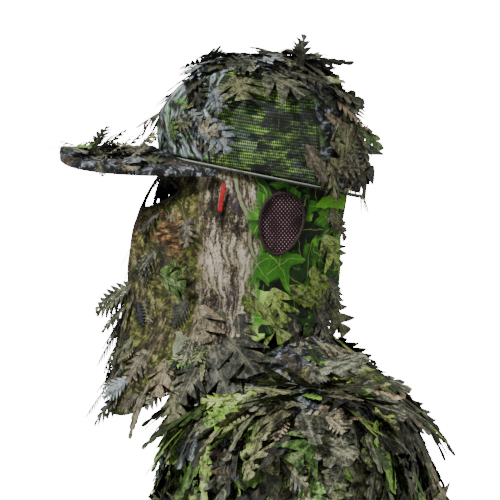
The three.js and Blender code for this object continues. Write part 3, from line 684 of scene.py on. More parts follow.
def cut_leaf_cloth():
    # Laser-cut printed polyester: each leaf shows its own piece of the print, streaked along the leaf
    # and blotched with dark, with a paler midrib and side veins.
    made, tree, shader = surface("cut_leaf_cloth", 0.68)
    tone = add(tree, "Attribute", out="Fac", attribute_name="tone")
    value = add(tree, "Attribute", out="Fac", attribute_name="value")
    leaf = add(tree, "UVMap", uv_map="leaf")
    place = add(tree, "TexCoord", out="Object")
    base = add(tree, "ValToRGB", (tone,), stops=LEAF_TONES, interpolation="CONSTANT")
    # blotches of the print, about 8 mm across, and finer flecks
    blotches = add(tree, "TexNoise", {"Vector": place, "Scale": 110.0, "Detail": 6.0, "Roughness": 0.7})
    shift = add(tree, "CombineXYZ", {
        0: add(tree, "Math", (value, 37.0), operation="MULTIPLY"),
        1: add(tree, "Math", (tone, 53.0), operation="MULTIPLY"), 2: 0.0,
    })
    moved = add(tree, "Mapping", {"Vector": leaf, "Location": shift, "Scale": (11.0, 2.6, 1.0)})
    streak = add(tree, "TexNoise", {"Vector": moved, "Scale": 1.0, "Detail": 5.0, "Roughness": 0.7})
    colour = over(tree, base, srgb("#b3ae8c"), (streak, 0.51, 0.6), 0.45)
    colour = over(tree, colour, srgb("#0d0f09"), (streak, 0.48, 0.4), 0.75)
    colour = over(tree, colour, srgb("#0b0d08"), (blotches, 0.49, 0.41), 0.8)
    colour = over(tree, colour, over(tree, base, srgb("#d5d3bc"), 0.5), (blotches, 0.52, 0.6), 0.3)
    parts = add(tree, "SeparateXYZ", (leaf,), out=None).outputs
    off_middle = add(tree, "Math", (
        add(tree, "Math", (parts[0], 0.5), operation="SUBTRACT"),
    ), operation="ABSOLUTE")
    rib = add(tree, "Math", (
        1.0, add(tree, "Math", (off_middle, 34.0), operation="MULTIPLY", use_clamp=True)
    ), operation="SUBTRACT")
    slanted = add(tree, "Math", (
        parts[1], add(tree, "Math", (off_middle, 0.9), operation="MULTIPLY")
    ), operation="SUBTRACT")
    branch = add(tree, "MapRange", (
        add(tree, "Math", (add(tree, "Math", (slanted, 46.0), operation="MULTIPLY"),), operation="SINE"),
        0.9, 0.98,
    ), interpolation_type="SMOOTHSTEP")
    veins = add(tree, "Math", (
        rib, add(tree, "Math", (branch, 0.5), operation="MULTIPLY")
    ), operation="MAXIMUM")
    colour = over(tree, colour, srgb("#a3a282"), veins, 0.35)
    fleck = add(tree, "TexNoise", {"Vector": place, "Scale": 420.0, "Detail": 4.0, "Roughness": 0.75})
    colour = over(tree, colour, srgb("#080905"), (fleck, 0.5, 0.57), 0.55)
    # each leaf's brightness: its own tone at random, and for some leaves a painted shade, as though they lay under
    # others
    bright = add(tree, "CombineColor", (value, value, value))
    colour = over(tree, colour, bright, 1.0, blend="MULTIPLY")
    coated(
        tree, shader, colour, add(tree, "Math", (veins, 0.6, blotches), operation="MULTIPLY_ADD"), 0.0005
    )
    return made


def ribbed_elastic():
    # Knitted elastic: 2.4 mm ribs, dull olive black.
    made, tree, shader = surface("ribbed_elastic", 0.85)
    place = add(tree, "TexCoord", out="Object")
    parts = add(tree, "SeparateXYZ", (place,), out=None).outputs
    around = add(tree, "Math", (parts[0], parts[1]), operation="ARCTAN2")
    ribs = add(tree, "Math", (add(tree, "Math", (around, 420.0), operation="MULTIPLY"),), operation="SINE")
    fuzz = add(tree, "TexNoise", {"Vector": place, "Scale": 600.0, "Detail": 2.0, "Roughness": 0.55})
    # painted light and shade: the colour follows the ribs, darker in the grooves and lighter on the crests
    colour = add(tree, "ValToRGB", (
        add(tree, "Math", (ribs, 0.15, fuzz), operation="MULTIPLY_ADD"),
    ), stops=[(0.3, "#15170f"), (0.7, "#3b3e2e")])
    coated(tree, shader, colour, add(tree, "Math", (ribs, 0.5, fuzz), operation="MULTIPLY_ADD"), 0.0007)
    return made


def grey_binding():
    # Folded grosgrain tape with a 1.2 mm rib, stitched round an edge.
    made, tree, shader = surface("grey_binding", 0.8)
    place = add(tree, "TexCoord", out="Object")
    fuzz = add(tree, "TexNoise", {"Vector": place, "Scale": 420.0, "Detail": 3.0, "Roughness": 0.55})
    parts = add(tree, "SeparateXYZ", (place,), out=None).outputs
    # the tape slopes with the cap's edge: its upper 1.2 mm is the pale one
    level = add(tree, "Math", (parts[1], 0.2, parts[2]), operation="MULTIPLY_ADD")
    colour = over(
        tree, add(tree, "ValToRGB", (fuzz,), stops=[(0.35, "#15170f"), (0.65, "#33372a")]), srgb("#8f958e"),
        (level, 0.1512, 0.1516), 0.8,
    )
    coated(tree, shader, colour, fuzz, 0.0004)
    return made


def dark_binding():
    # Narrow black-brown tape round the ear and eye openings.
    return grained("dark_binding", 0.8, 500.0, 3.0, [(0.35, "#140c0d"), (0.65, "#3a2a24")], 0.0004)


def red_tag():
    # Woven polyester label, plain red.
    made, tree, shader = surface("red_tag", 0.6)
    place = add(tree, "TexCoord", out="Object")
    thread = add(tree, "TexNoise", {
        "Vector": add(tree, "Mapping", {"Vector": place, "Scale": (1, 1, 6)}), "Scale": 260.0,
        "Detail": 2.0, "Roughness": 0.55,
    })
    coated(
        tree, shader, add(tree, "ValToRGB", (thread,), stops=[(0.3, "#7d070c"), (0.7, "#b8141d")]), thread,
        0.0003,
    )
    return made


def moulded_nylon():
    # Zip coil and visor board: moulded nylon, dark, slightly glossy.
    stops, gloss = [(0.3, "#1b1e17"), (0.7, "#33382b")], [(0.3, 0.36), (0.7, 0.55)]
    return grained("moulded_nylon", 0.42, 300.0, 3.0, stops, 0.0002, gloss=gloss)


def zip_tape_cloth():
    # Woven zip tape: a herringbone too fine to see, drawn as 1 mm ribs across the tape.
    made, tree, shader = surface("zip_tape_cloth", 0.85)
    place = add(tree, "TexCoord", out="Object")
    parts = add(tree, "SeparateXYZ", (place,), out=None).outputs
    ribs = add(tree, "Math", (
        add(tree, "Math", (parts[2], 2 * math.pi / 0.001), operation="MULTIPLY"),
    ), operation="SINE")
    coated(
        tree, shader,
        add(tree, "ValToRGB", (
            add(tree, "TexNoise", {"Vector": place, "Scale": 500.0, "Detail": 3.0, "Roughness": 0.55}),
        ), stops=[(0.3, "#23271b"), (0.7, "#454a38")]),
        ribs, 0.0002,
    )
    return made


def blackened_zinc():
    # Die-cast zinc with a black nickel finish, worn bright here and there.
    stops, gloss = [(0.4, "#2c2d2b"), (0.7, "#77776f")], [(0.3, 0.28), (0.7, 0.5)]
    return grained("blackened_zinc", 0.35, 400.0, 4.0, stops, metallic=1.0, gloss=gloss)


def soft_aluminium():
    # Rolled aluminium strip, dull.
    stops = [(0.3, "#9a9c9e"), (0.7, "#d0d2d4")]
    return grained("soft_aluminium", 0.4, 200.0, 3.0, stops, metallic=1.0)


def pale_floor():
    # Matt seamless paper.
    return grained("pale_floor", 0.95, 3.0, 3.0, [(0.3, "#e6e6e4"), (0.7, "#eeeeec")])


MAKERS = (
    bark_print_polyester,
    printed_polyester_mesh,
    black_knitted_mesh,
    leafy_base_cloth,
    grey_bark_cloth,
    cut_leaf_cloth,
    ribbed_elastic,
    grey_binding,
    dark_binding,
    red_tag,
    moulded_nylon,
    zip_tape_cloth,
    blackened_zinc,
    soft_aluminium,
    pale_floor,
)


def material(name):
    return bpy.data.materials.get(name) or next(m for m in MAKERS if m.__name__ == name)()


# ---------- Meshes ----------


def shown(mesh, name, *materials, smooth=True):
    """A mesh as an object of the scene, with its materials."""
    made = bpy.data.objects.new(name, mesh)
    bpy.context.scene.collection.objects.link(made)
    for m in materials:
        mesh.materials.append(m)
    mesh.polygons.foreach_set("use_smooth", [smooth] * len(mesh.polygons))
    return made


def finished(bm, name, *materials, smooth=True):
    """The same for a bmesh, which is used up."""
    mesh = bpy.data.meshes.new(name)
    bm.to_mesh(mesh)
    bm.free()
    return shown(mesh, name, *materials, smooth=smooth)


def modified(piece, kind, **settings):
    """Adds a modifier and applies it."""
    made = piece.modifiers.new(kind.lower(), kind)
    for key, value in settings.items():
        setattr(made, key, value)
    graph = bpy.context.evaluated_depsgraph_get()
    result = bpy.data.meshes.new_from_object(
        piece.evaluated_get(graph), preserve_all_data_layers=True, depsgraph=graph
    )
    piece.modifiers.clear()
    old = piece.data
    piece.data = result
    result.name = piece.name
    bpy.data.meshes.remove(old)
    return piece


def node_shape(*nodes):
    """The CAD nodes' meshes together, with their loose triangles merged."""
    bm = bmesh.new()
    for name in nodes:
        bm.from_mesh(frame["nodes"][name].data)
    bmesh.ops.remove_doubles(bm, verts=bm.verts, dist=0.00005)
    return bm


def tree_of(*nodes):
    bm = node_shape(*nodes)
    made = BVHTree.FromBMesh(bm)
    bm.free()
    return made


def wobble(place, scale, seed=0.0):
    """Smooth noise from -1 to 1, with bumps about `scale` metres across."""
    return noise.noise(place / scale + Vector((seed, seed * 1.7, -seed)))


def around_head(angle):
    """The level direction at an angle from the front, towards the wearer's left."""
    return Vector((math.sin(math.radians(angle)), -math.cos(math.radians(angle)), 0))


def from_front(point, axis_y):
    """The angle round an upright line, from the front towards the wearer's left."""
    return math.degrees(math.atan2(point.x, -(point.y - axis_y)))


def share_of_turn(i, columns):
    """The same for a column of a sheet, as a share of a turn."""
    return i / columns - (1 if i > columns / 2 else 0)


def depth_of(shell, start, way):
    """How far from start a wall's outer face is, along the direction `way`, or None. A ray that goes
    through a seam's gap is sent again a little to the side."""
    for turn in (0, 0.6, -0.6):
        nudged = Matrix.Rotation(math.radians(turn), 3, Vector((0, 0, 1))) @ way
        hit, _, _, far = shell.ray_cast(start + nudged * RAY, -nudged, RAY)
        if hit is not None:
            return RAY - far
    return None


def smoothed(grid, passes, ring):
    """A grid of numbers, averaged with its neighbours."""
    for _ in range(passes):
        wide = np.concatenate([grid[-2:-1], grid, grid[1:2]]) if ring else np.concatenate([
            grid[:1], grid, grid[-1:],
        ])
        grid = (wide[:-2] + 2 * grid + wide[2:]) / 4
        tall = np.concatenate([grid[:, :1], grid, grid[:, -1:]], axis=1)
        grid = (tall[:, :-2] + 2 * grid + tall[:, 2:]) / 4
    return grid


def cloth_grid(columns, rows, place, cloth_map):
    """A sheet whose point at (u, v), each 0 to 1, is place(i, j), with its flat size as its UV map."""
    bm = bmesh.new()
    bmesh.ops.create_grid(bm, x_segments=columns, y_segments=rows, size=0.5)
    uv = bm.loops.layers.uv.new("cloth")
    spots = {}
    for v in bm.verts:
        spots[v] = (round((v.co.x + 0.5) * columns), round((v.co.y + 0.5) * rows))
    for face in bm.faces:
        for loop in face.loops:
            loop[uv].uv = cloth_map(*spots[loop.vert])
    for v, (i, j) in spots.items():
        v.co = place(i, j)
    return bm


def panel(source, name, keep, material_name="bark_print_polyester"):
    """The faces of a sheet that `keep` picks by their centre, as a piece of cloth."""
    bm = source.copy()
    bmesh.ops.delete(bm, geom=[f for f in bm.faces if not keep(f.calc_center_median())], context="FACES")
    bmesh.ops.remove_doubles(bm, verts=bm.verts, dist=0.00002)
    area = sum(f.calc_area() for f in bm.faces)
    piece = finished(bm, name, material(material_name))
    modified(piece, "SOLIDIFY", thickness=CLOTH, offset=-1.0, use_even_offset=False)
    return piece, area


# ---------- Mask ----------

MASK_NODES = ["mask_face_panel", "mask_side_left", "mask_side_right"]
MASK_NODES += ["ear_mesh_left", "ear_mesh_right", "ear_binding_left", "ear_binding_right"]


def ear_share(point, side):
    """How far a point is from the middle of that ear's opening: 1 is its edge."""
    if point.x * side < 0:
        return 9.0
    y, z = point.y - EAR["y"], point.z - EAR["z"]
    lean = math.radians(EAR["lean"])
    across = y * math.cos(lean) - z * math.sin(lean)
    up = z * math.cos(lean) + y * math.sin(lean)
    narrow = 1 + 0.14 * max(min(up / EAR["half_height"], 1), -1)
    return math.hypot(across / (EAR["half_width"] * narrow), up / EAR["half_height"])


def eye_share(point, side):
    """The same for an eye opening, tall by the nose and narrow at the temple."""
    if point.y > -0.09:
        return 9.0
    across, up = abs(point.x), point.z - EYE["z"]
    if point.x * side < 0:
        return 9.0
    half_height = EYE["half_height"] * (1 - 0.35 * (across - EYE["x"]) / EYE["half_width"])
    return math.hypot((across - EYE["x"]) / EYE["half_width"], up / half_height)


def mask_folds(point):
    """How far the cloth stands off: soft folds that deepen towards the free edge."""
    low = max(0.0, min(1.0, (0.06 - point.z) / 0.13))
    folds = 0.0028 * low * wobble(Vector((point.x, point.y, point.z * 0.25)), 0.024, 3.0)
    creases = 0.0011 * wobble(point, 0.019, 7.0) + 0.0016 * wobble(point, 0.045, 1.0)
    fine = 0.0005 * wobble(point, 0.008, 5.0)
    upper = max(0.0, min(1.0, (0.165 - point.z) / 0.05))
    return folds + (creases + fine) * upper


def mask():
    columns, rows = 168, 72
    shell = tree_of(*MASK_NODES)
    heights = np.linspace(-0.085, 0.198, 160)  # from below the drape to above the brow
    radius = np.full((columns + 1, len(heights)), np.nan)
    for i in range(columns + 1):
        way = around_head(360 * i / columns)
        for k, z in enumerate(heights):
            found = depth_of(shell, Vector((0, HEAD_AXIS_Y, z)), way)
            if found is not None:
                radius[i, k] = found
    grid = np.zeros((columns + 1, rows + 1))
    tops, lows = [], []
    for i in range(columns + 1):
        found = np.flatnonzero(~np.isnan(radius[i]))
        lows.append(heights[found[0]])
        tops.append(heights[found[-1]])
    lows, tops = (smoothed(np.array(v).reshape(-1, 1), 3, True)[:, 0] for v in (lows, tops))
    for i in range(columns + 1):
        found = np.flatnonzero(~np.isnan(radius[i]))
        z = np.linspace(lows[i], tops[i], rows + 1)
        grid[i] = np.interp(z, heights[found], radius[i][found])
    grid = smoothed(grid, 4, True)

    def place(i, j):
        way = around_head(360 * i / columns)
        z = lows[i] + (tops[i] - lows[i]) * j / rows
        point = Vector((0, HEAD_AXIS_Y, z)) + way * grid[i][j]
        return point + way * mask_folds(point)

    def cloth_map(i, j):
        z = lows[i] + (tops[i] - lows[i]) * j / rows
        return share_of_turn(i, columns) * MASK_ROUND, z

    source = cloth_grid(columns, rows, place, cloth_map)
    bmesh.ops.remove_doubles(source, verts=source.verts, dist=0.00002)
    bmesh.ops.recalc_face_normals(source, faces=source.faces)
    probe = BVHTree.FromBMesh(source)

    def in_hole(point):
        holes = [ear_share(point, s) < 1.03 for s in SIDES.values()]
        return any(holes + [eye_share(point, s) < 1.0 for s in SIDES.values()])

    face, area = panel(
        source, "mask_face_cloth",
        lambda p: abs(from_front(p, HEAD_AXIS_Y)) <= MASK_SEAM and (not in_hole(p)),
    )
    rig.replaces(face, "mask_face_panel")
    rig.slot(face, "printed_mask_cloth")
    pieces = {"face": face}
    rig.ride(face, "headpiece")
    areas = {"face": area}
    for name, side in SIDES.items():
        flank, area = panel(
            source,
            f"mask_side_cloth_{name}",
            lambda p: abs(from_front(p, HEAD_AXIS_Y)) > MASK_SEAM and p.x * side > 0 and not in_hole(p),
        )
        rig.replaces(flank, f"mask_side_{name}")
        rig.slot(flank, "printed_mask_cloth")
        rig.ride(flank, "headpiece")
        pieces[name] = flank
        areas[name] = area
        ear, area = panel(
            source, f"ear_panel_{name}", lambda p: ear_share(p, side) < 1.12,
            material_name="black_knitted_mesh",
        )
        shrink = Vector((-0.0012 * side, 0, 0))
        ear.data.transform(Matrix.Translation(shrink))
        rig.replaces(ear, f"ear_mesh_{name}")
        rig.slot(ear, "ear_mesh")
        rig.ride(ear, "headpiece")
        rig.sheet(
            ear, flat=(0.045, 0.065), held="stretched", rests_on=[f"mask_side_cloth_{name}"], area=area
        )
    bindings(probe)
    source.free()
    return pieces, areas, probe


def edge_ring(name, outline, probe, thickness, axis):
    """A rolled tape round an opening: a closed line laid on the cloth and given its section."""
    curve = bpy.data.curves.new(name, "CURVE")
    curve.dimensions = "3D"
    curve.bevel_depth = thickness
    curve.bevel_resolution = 2
    curve.resolution_u = 3
    line = curve.splines.new("NURBS")
    line.use_cyclic_u = True
    hits = [probe.ray_cast(start, axis)[0] for start in outline]
    points = [hit - axis * 0.0002 for hit in hits if hit is not None]
    line.points.add(len(points) - 1)
    for spot, point in zip(line.points, points):
        spot.co = (*point, 1)
    line.order_u = 4
    made = bpy.data.objects.new(name, curve)
    bpy.context.scene.collection.objects.link(made)
    graph = bpy.context.evaluated_depsgraph_get()
    mesh = bpy.data.meshes.new_from_object(made.evaluated_get(graph), depsgraph=graph)
    bpy.data.objects.remove(made)
    ring = shown(mesh, name, material("dark_binding"))
    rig.slot(ring, "elastic_binding")
    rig.ride(ring, "headpiece")
    return ring


def bindings(probe):
    """The tapes round the ear and eye openings."""
    for name, side in SIDES.items():
        lean = math.radians(EAR["lean"])
        outline = []
        for k in range(OPENING_STEPS):
            turn = 2 * math.pi * k / OPENING_STEPS
            narrow = 1 + 0.14 * math.sin(turn)
            across = (EAR["half_width"] + 0.001) * math.cos(turn) * narrow
            up = (EAR["half_height"] + 0.001) * math.sin(turn)
            y = EAR["y"] + across * math.cos(lean) + up * math.sin(lean)
            z = EAR["z"] + up * math.cos(lean) - across * math.sin(lean)
            outline.append(Vector((side * RAY, y, z)))
        ring = edge_ring(f"ear_tape_{name}", outline, probe, 0.0016, Vector((-side, 0, 0)))
        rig.replaces(ring, f"ear_binding_{name}")
        outline = []
        for k in range(OPENING_STEPS):
            turn = 2 * math.pi * k / OPENING_STEPS
            share = math.cos(turn)
            across = EYE["x"] + (EYE["half_width"] + 0.0005) * share
            up = (EYE["half_height"] * (1 - 0.35 * share) + 0.0006) * math.sin(turn)
            outline.append(Vector((side * across, -RAY, EYE["z"] + up)))
        ring = edge_ring(f"eye_tape_{name}", outline, probe, 0.0013, Vector((0, 1, 0)))
        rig.replaces(ring, f"eye_binding_{name}")


# ---------- Crown ----------

CROWN_NODES = [
    "crown_front_panel", "crown_mesh_left", "crown_mesh_right", "crown_rear_panel", "crown_top_panel",
]


def crown():
    columns, rows = 144, 40
    shell = tree_of(*CROWN_NODES)

    def way(angle, rise):
        flat = around_head(angle)
        return flat * math.cos(math.radians(rise)) + Vector((0, 0, math.sin(math.radians(rise))))

    def reach(direction):
        return depth_of(shell, CROWN_CENTRE, direction)

    lows = []
    for i in range(columns + 1):
        rises = np.arange(-30, 30, 0.5)
        lows.append(next(r for r in rises if reach(way(360 * i / columns, r)) is not None) + 0.4)
    lows = smoothed(np.array(lows).reshape(-1, 1), 2, True)[:, 0] + 0.3
    grid = np.zeros((columns + 1, rows + 1))
    for i in range(columns + 1):
        for j in range(rows + 1):
            rise = lows[i] + (90 - lows[i]) * j / rows
            found = reach(way(360 * i / columns, rise))
            grid[i][j] = found if found is not None else grid[i][max(j - 1, 0)]
    grid[:, -1] = grid[:, -1].mean()
    grid = smoothed(grid, 3, True)

    def place(i, j):
        rise = lows[i] + (90 - lows[i]) * j / rows
        direction = way(360 * i / columns, rise)
        point = CROWN_CENTRE + direction * grid[i][j]
        rumple = 0.0014 * wobble(point, 0.03, 2.0) + 0.0006 * wobble(point, 0.012, 9.0)
        return point + direction * (rumple - 0.001)

    def cloth_map(i, j):
        rise = lows[i] + (90 - lows[i]) * j / rows
        return share_of_turn(i, columns) * CROWN_ROUND, math.radians(rise) * CROWN_RADIUS

    source = cloth_grid(columns, rows, place, cloth_map)
    bmesh.ops.remove_doubles(source, verts=source.verts, dist=0.00005)
    bmesh.ops.recalc_face_normals(source, faces=source.faces)
    probe = BVHTree.FromBMesh(source)

    def angle_of(point):
        return from_front(point, CROWN_CENTRE.y)

    def rise_of(point):
        away = point - CROWN_CENTRE
        return math.degrees(math.asin(away.z / away.length))

    def at_side(p, side):
        return rise_of(p) <= CROWN_PANEL_TOP and MESH_FROM < side * angle_of(p) < MESH_TO

    picks = {
        "crown_front": (
            "crown_front_panel", lambda p: rise_of(p) <= CROWN_PANEL_TOP and abs(angle_of(p)) <= MESH_FROM
        ),
        "crown_rear": (
            "crown_rear_panel", lambda p: rise_of(p) <= CROWN_PANEL_TOP and abs(angle_of(p)) >= MESH_TO
        ),
        "crown_top": ("crown_top_panel", lambda p: rise_of(p) > CROWN_PANEL_TOP),
        "crown_side_mesh_left": ("crown_mesh_left", lambda p: at_side(p, 1)),
        "crown_side_mesh_right": ("crown_mesh_right", lambda p: at_side(p, -1)),
    }
    pieces, areas = {}, {}
    for name, (node, keep) in picks.items():
        mesh_panel = "mesh" in name
        cloth = "printed_polyester_mesh" if mesh_panel else "leafy_base_cloth"
        if name == "crown_front":
            cloth = "grey_bark_cloth"
        piece, area = panel(source, name, keep, material_name=cloth)
        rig.replaces(piece, node)
        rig.slot(piece, "printed_mesh" if mesh_panel else "leafy_cloth")
        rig.ride(piece, "headpiece")
        pieces[name] = piece
        areas[name] = area
    source.free()
    return pieces, areas, probe


# ---------- Jacket cloth ----------


def cloth_from(node, name, material_name, slot, wrinkle=0.0, levels=2, centre=None, gathers=None):
    """A CAD wall as cloth: its triangles become quads, and its faceted shape a smooth one."""
    bm = node_shape(node)
    bmesh.ops.join_triangles(
        bm,
        faces=bm.faces,
        angle_face_threshold=math.radians(20),
        angle_shape_threshold=math.radians(60),
    )
    crease = bm.edges.layers.float.new("crease_edge")
    for edge in bm.edges:
        if len(edge.link_faces) == 2 and edge.calc_face_angle(0) > math.radians(50):
            edge[crease] = 1.0
    piece = finished(bm, name, material(material_name))
    modified(piece, "SUBSURF", levels=levels, render_levels=levels)
    if wrinkle:
        for v in piece.data.vertices:
            axis = centre(v.co) if centre else Vector((0, -0.005, v.co.z))
            out = (v.co - axis).normalized()
            size = wobble(axis + out * 0.12, 0.055, 4.0) + 0.5 * wobble(axis + out * 0.12, 0.022, 6.0)
            v.co += out * wrinkle * size
    if gathers:
        axis, start, count, depth = gathers
        across = axis.orthogonal().normalized()
        along = axis.cross(across)
        for v in piece.data.vertices:
            out = (v.co - start) - axis * (v.co - start).dot(axis)
            angle = math.atan2(out.dot(along), out.dot(across))
            v.co += out.normalized() * depth * math.sin(angle * count)
    piece.data.polygons.foreach_set("use_smooth", [True] * len(piece.data.polygons))
    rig.replaces(piece, node)
    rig.slot(piece, slot)
    return piece


def sheet_area(piece):
    return sum(p.area for p in piece.data.polygons) / 2


# ---------- Cut leaves ----------


def leaf_blank(rows, half_width, reach, sweep, middle=0.9, tip=0.2):
    """One flat leaf, 1 long: a blade of `rows` steps with a lobe on each side of each step, in two
    parts. half_width and reach are given for a share of the length, `sweep` is how far a lobe leans
    to the tip, and `middle` and `tip` are its widths half way out and at its end."""
    bm = bmesh.new()
    bmesh.ops.create_grid(bm, x_segments=2, y_segments=rows, size=0.5)
    for v in bm.verts:
        across, along = round(v.co.x * 2), v.co.y + 0.5
        v.co = (across * half_width(along), along, 0)
    lobes = [e for e in bm.edges if e.is_boundary and abs(e.verts[0].co.y - e.verts[1].co.y) > 0.5 / rows]
    for edge in lobes:
        root = (edge.verts[0].co + edge.verts[1].co) / 2
        step = Vector((math.copysign(reach(root.y), root.x), sweep * reach(root.y), 0)) / 2
        widths = (middle, tip / middle)
        for k, narrowed in enumerate(widths):
            grown = bmesh.ops.extrude_edge_only(bm, edges=[edge])["geom"]
            edge = next(g for g in grown if isinstance(g, bmesh.types.BMEdge))
            centre = (edge.verts[0].co + edge.verts[1].co) / 2
            for v in edge.verts:
                v.co = centre + (v.co - centre) * narrowed + step * (1 + 0.25 * k * sweep)
    bmesh.ops.recalc_face_normals(bm, faces=bm.faces)
    bm.verts.index_update()
    places = np.array([v.co for v in bm.verts])
    faces = [[v.index for v in f.verts] for f in bm.faces]
    bm.free()
    return places, faces


def hump(t, middle=0.45):
    """0 at both ends and 1 at the middle."""
    return math.sin(math.pi * min(max(t, 0.001), 0.999) ** (math.log(0.5) / math.log(middle)))


LEAF_SHAPES = {
    "fern": leaf_blank(8, lambda t: 0.04 * (1.1 - t), lambda t: 0.24 * hump(t, 0.4) + 0.03, 0.7, 0.8, 0.3),
    "oak": leaf_blank(
        4, lambda t: 0.05 + 0.09 * hump(t, 0.6), lambda t: 0.2 * hump(t, 0.55) + 0.03, 0.3, 0.95, 0.5
    ),
    "hand": leaf_blank(3, lambda t: 0.1 * (1.1 - t), lambda t: 0.46 * hump(t, 0.35), 0.75, 0.7, 0.12),
    "spiky": leaf_blank(
        5, lambda t: 0.12 * (1.08 - t), lambda t: 0.24 * hump(t, 0.4) + 0.02, 0.75, 0.7, 0.12
    ),
    "beech": leaf_blank(6, lambda t: 0.03 + 0.19 * hump(t, 0.45), lambda t: 0.045, 0.8, 0.5, 0.1),
    "blade": leaf_blank(6, lambda t: 0.015 + 0.065 * hump(t, 0.35), lambda t: 0.022, 1.4, 0.7, 0.3),
}


class Leaves:
    """Gathers leaves and makes them one mesh."""

    def __init__(self, seed):
        self.rng = random.Random(seed)
        self.parts = []

    def put(
        self, shape, root, way, normal, size, lift=25.0, curl=-0.15, cup=0.3, roll=0.0, wide=1.0, tone=None,
        value=None,
    ):
        """One leaf from its root, pointing along `way` and lifted off the cloth by `lift` degrees."""
        rng = self.rng
        normal = normal.normalized()
        way = (way - normal * way.dot(normal)).normalized()
        angle = math.radians(lift)
        along = way * math.cos(angle) + normal * math.sin(angle)
        across = along.cross(normal).normalized()
        across = (Matrix.Rotation(math.radians(roll), 3, along) @ across).normalized()
        up = across.cross(along)
        places, faces = LEAF_SHAPES[shape]
        x, y = places[:, 0] * wide, places[:, 1]
        z = curl * y * y - cup * x * x + 0.05 * math.sin(rng.uniform(0, 6)) * x * y * 4
        basis = np.array([across, along, up])
        spots = np.array(root) + size * (np.stack([x, y, z], axis=1) @ basis)
        tone = rng.random() if tone is None else tone
        # painted shade: three leaves in ten are darkened, as though they lay in the shade of the others; the rest
        # differ in tone at random
        if value is None:  # some lie in the shade of the others
            value = rng.uniform(0.15, 0.5) if rng.random() < 0.3 else rng.uniform(0.7, 1.65)
        self.parts.append((spots, faces, places, tone, value))

    def made(self, name):
        points, polygons, maps, tones, values = [], [], [], [], []
        start = 0
        for spots, faces, flat, tone, value in self.parts:
            points.append(spots)
            polygons += [[start + i for i in f] for f in faces]
            maps.append(flat)
            tones.append(np.full(len(spots), tone))
            values.append(np.full(len(spots), value))
            start += len(spots)
        points = np.concatenate(points)
        mesh = bpy.data.meshes.new(name)
        mesh.from_pydata(points.tolist(), [], polygons)
        flat = np.concatenate(maps)
        corners = np.empty(len(mesh.loops), dtype=np.int32)
        mesh.loops.foreach_get("vertex_index", corners)
        layer = mesh.uv_layers.new(name="leaf")
        uv = np.stack([flat[corners, 0] + 0.5, flat[corners, 1]], axis=1)
        layer.data.foreach_set("uv", uv.astype(np.float32).ravel())
        for key, numbers in (("tone", tones), ("value", values)):
            mesh.attributes.new(key, "FLOAT", "POINT").data.foreach_set(
                "value", np.concatenate(numbers).astype(np.float32)
            )
        piece = shown(mesh, name, material("cut_leaf_cloth"))
        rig.slot(piece, "leafy_cloth")
        return piece


def outer_spots(node, count, rng, centre):
    """Random places on the outside of a CAD wall, each with its normal."""
    mesh = frame["nodes"][node].data
    faces = []
    for p in mesh.polygons:
        out = p.center - centre(p.center)
        if out.length and p.normal.dot(out.normalized()) > 0.25:
            faces.append(p)
    weights = [p.area for p in faces]
    for p in rng.choices(faces, weights, k=count):
        a, b, c = (mesh.vertices[i].co for i in p.vertices[:3])
        s, t = rng.random(), rng.random()
        if s + t > 1:
            s, t = 1 - s, 1 - t
        yield a + (b - a) * s + (c - a) * t, p.normal.copy()


def torso_centre(point):
    return Vector((0, 0, min(point.z, -0.12)))


def arm_directions(side):
    top = Vector((side * SHOULDER.x, SHOULDER.y, SHOULDER.z))
    down = Vector((side * math.sin(ARM_LEAN), 0, -math.cos(ARM_LEAN)))
    return top, down


def arm_centre(side):
    top, down = arm_directions(side)

    def centre(point):
        along = max((point - top).dot(down), 0.0)
        return top + down * along

    return centre


def strayed(rng, level, upright):
    """How far a leaf's direction strays, level and upright."""
    return Vector((rng.gauss(0, level), rng.gauss(0, level), rng.gauss(0, upright)))


def jacket_flow(point, rng):
    """Leaves hang down and away from the neck."""
    away = Vector((point.x * 0.8, point.y * 1.6, 0))
    if away.length:
        away.normalize()
    fall = Vector((0, 0, -1.0)) + away * 0.9
    if point.y < 0 and abs(point.x) < 0.09:
        fall.x += math.copysign(0.7, point.x)  # the front edges are kept clear of leaves
    return fall + strayed(rng, 0.5, 0.35)


JACKET_MIX = ["spiky", "hand", "oak", "spiky", "hand", "beech", "blade", "oak", "fern"]
GRASSY_MIX = ["blade", "spiky", "hand", "blade", "blade", "oak", "blade", "spiky"]
GREENS = (0.87, 1.0)  # the tones of the green leaves
DULL = ((0.0, 0.87),)
COOL = ((0.0, 0.34), (0.66, 0.87))  # without the browns
LONG_BLADES_ABOVE = -0.58  # below this height they stay short, clear of the hem


def some_tone(rng, green, others=DULL):
    """A leaf's tone: green for that share of the leaves."""
    return rng.uniform(*(GREENS if rng.random() < green else rng.choice(others)))


def leafy(
    name, node, count, seed, centre, sizes=(0.030, 0.058), flow=jacket_flow, mix=JACKET_MIX, lifts=(3, 20),
    skip=None, green=0.12, others=DULL,
):
    leaves = Leaves(seed)
    rng = leaves.rng
    for spot, normal in outer_spots(node, count, rng, centre):
        if skip and skip(spot):
            continue
        shape = rng.choice(mix)
        size = rng.uniform(*sizes)
        if shape == "blade" and spot.z > LONG_BLADES_ABOVE:
            size *= 1.5
        leaves.put(
            shape,
            spot,
            flow(spot, rng),
            normal,
            size,
            lift=rng.uniform(*lifts) * (0.5 if shape == "blade" else 1),
            curl=rng.uniform(-0.35, 0.02),
            cup=rng.uniform(-0.4, 0.9),
            roll=rng.uniform(-22, 22),
            wide=rng.uniform(0.75, 1.1),
            tone=some_tone(rng, green, others),
        )
    return leaves.made(name)


def near_zip(spot):
    return abs(spot.x) < 0.028 and spot.y < 0


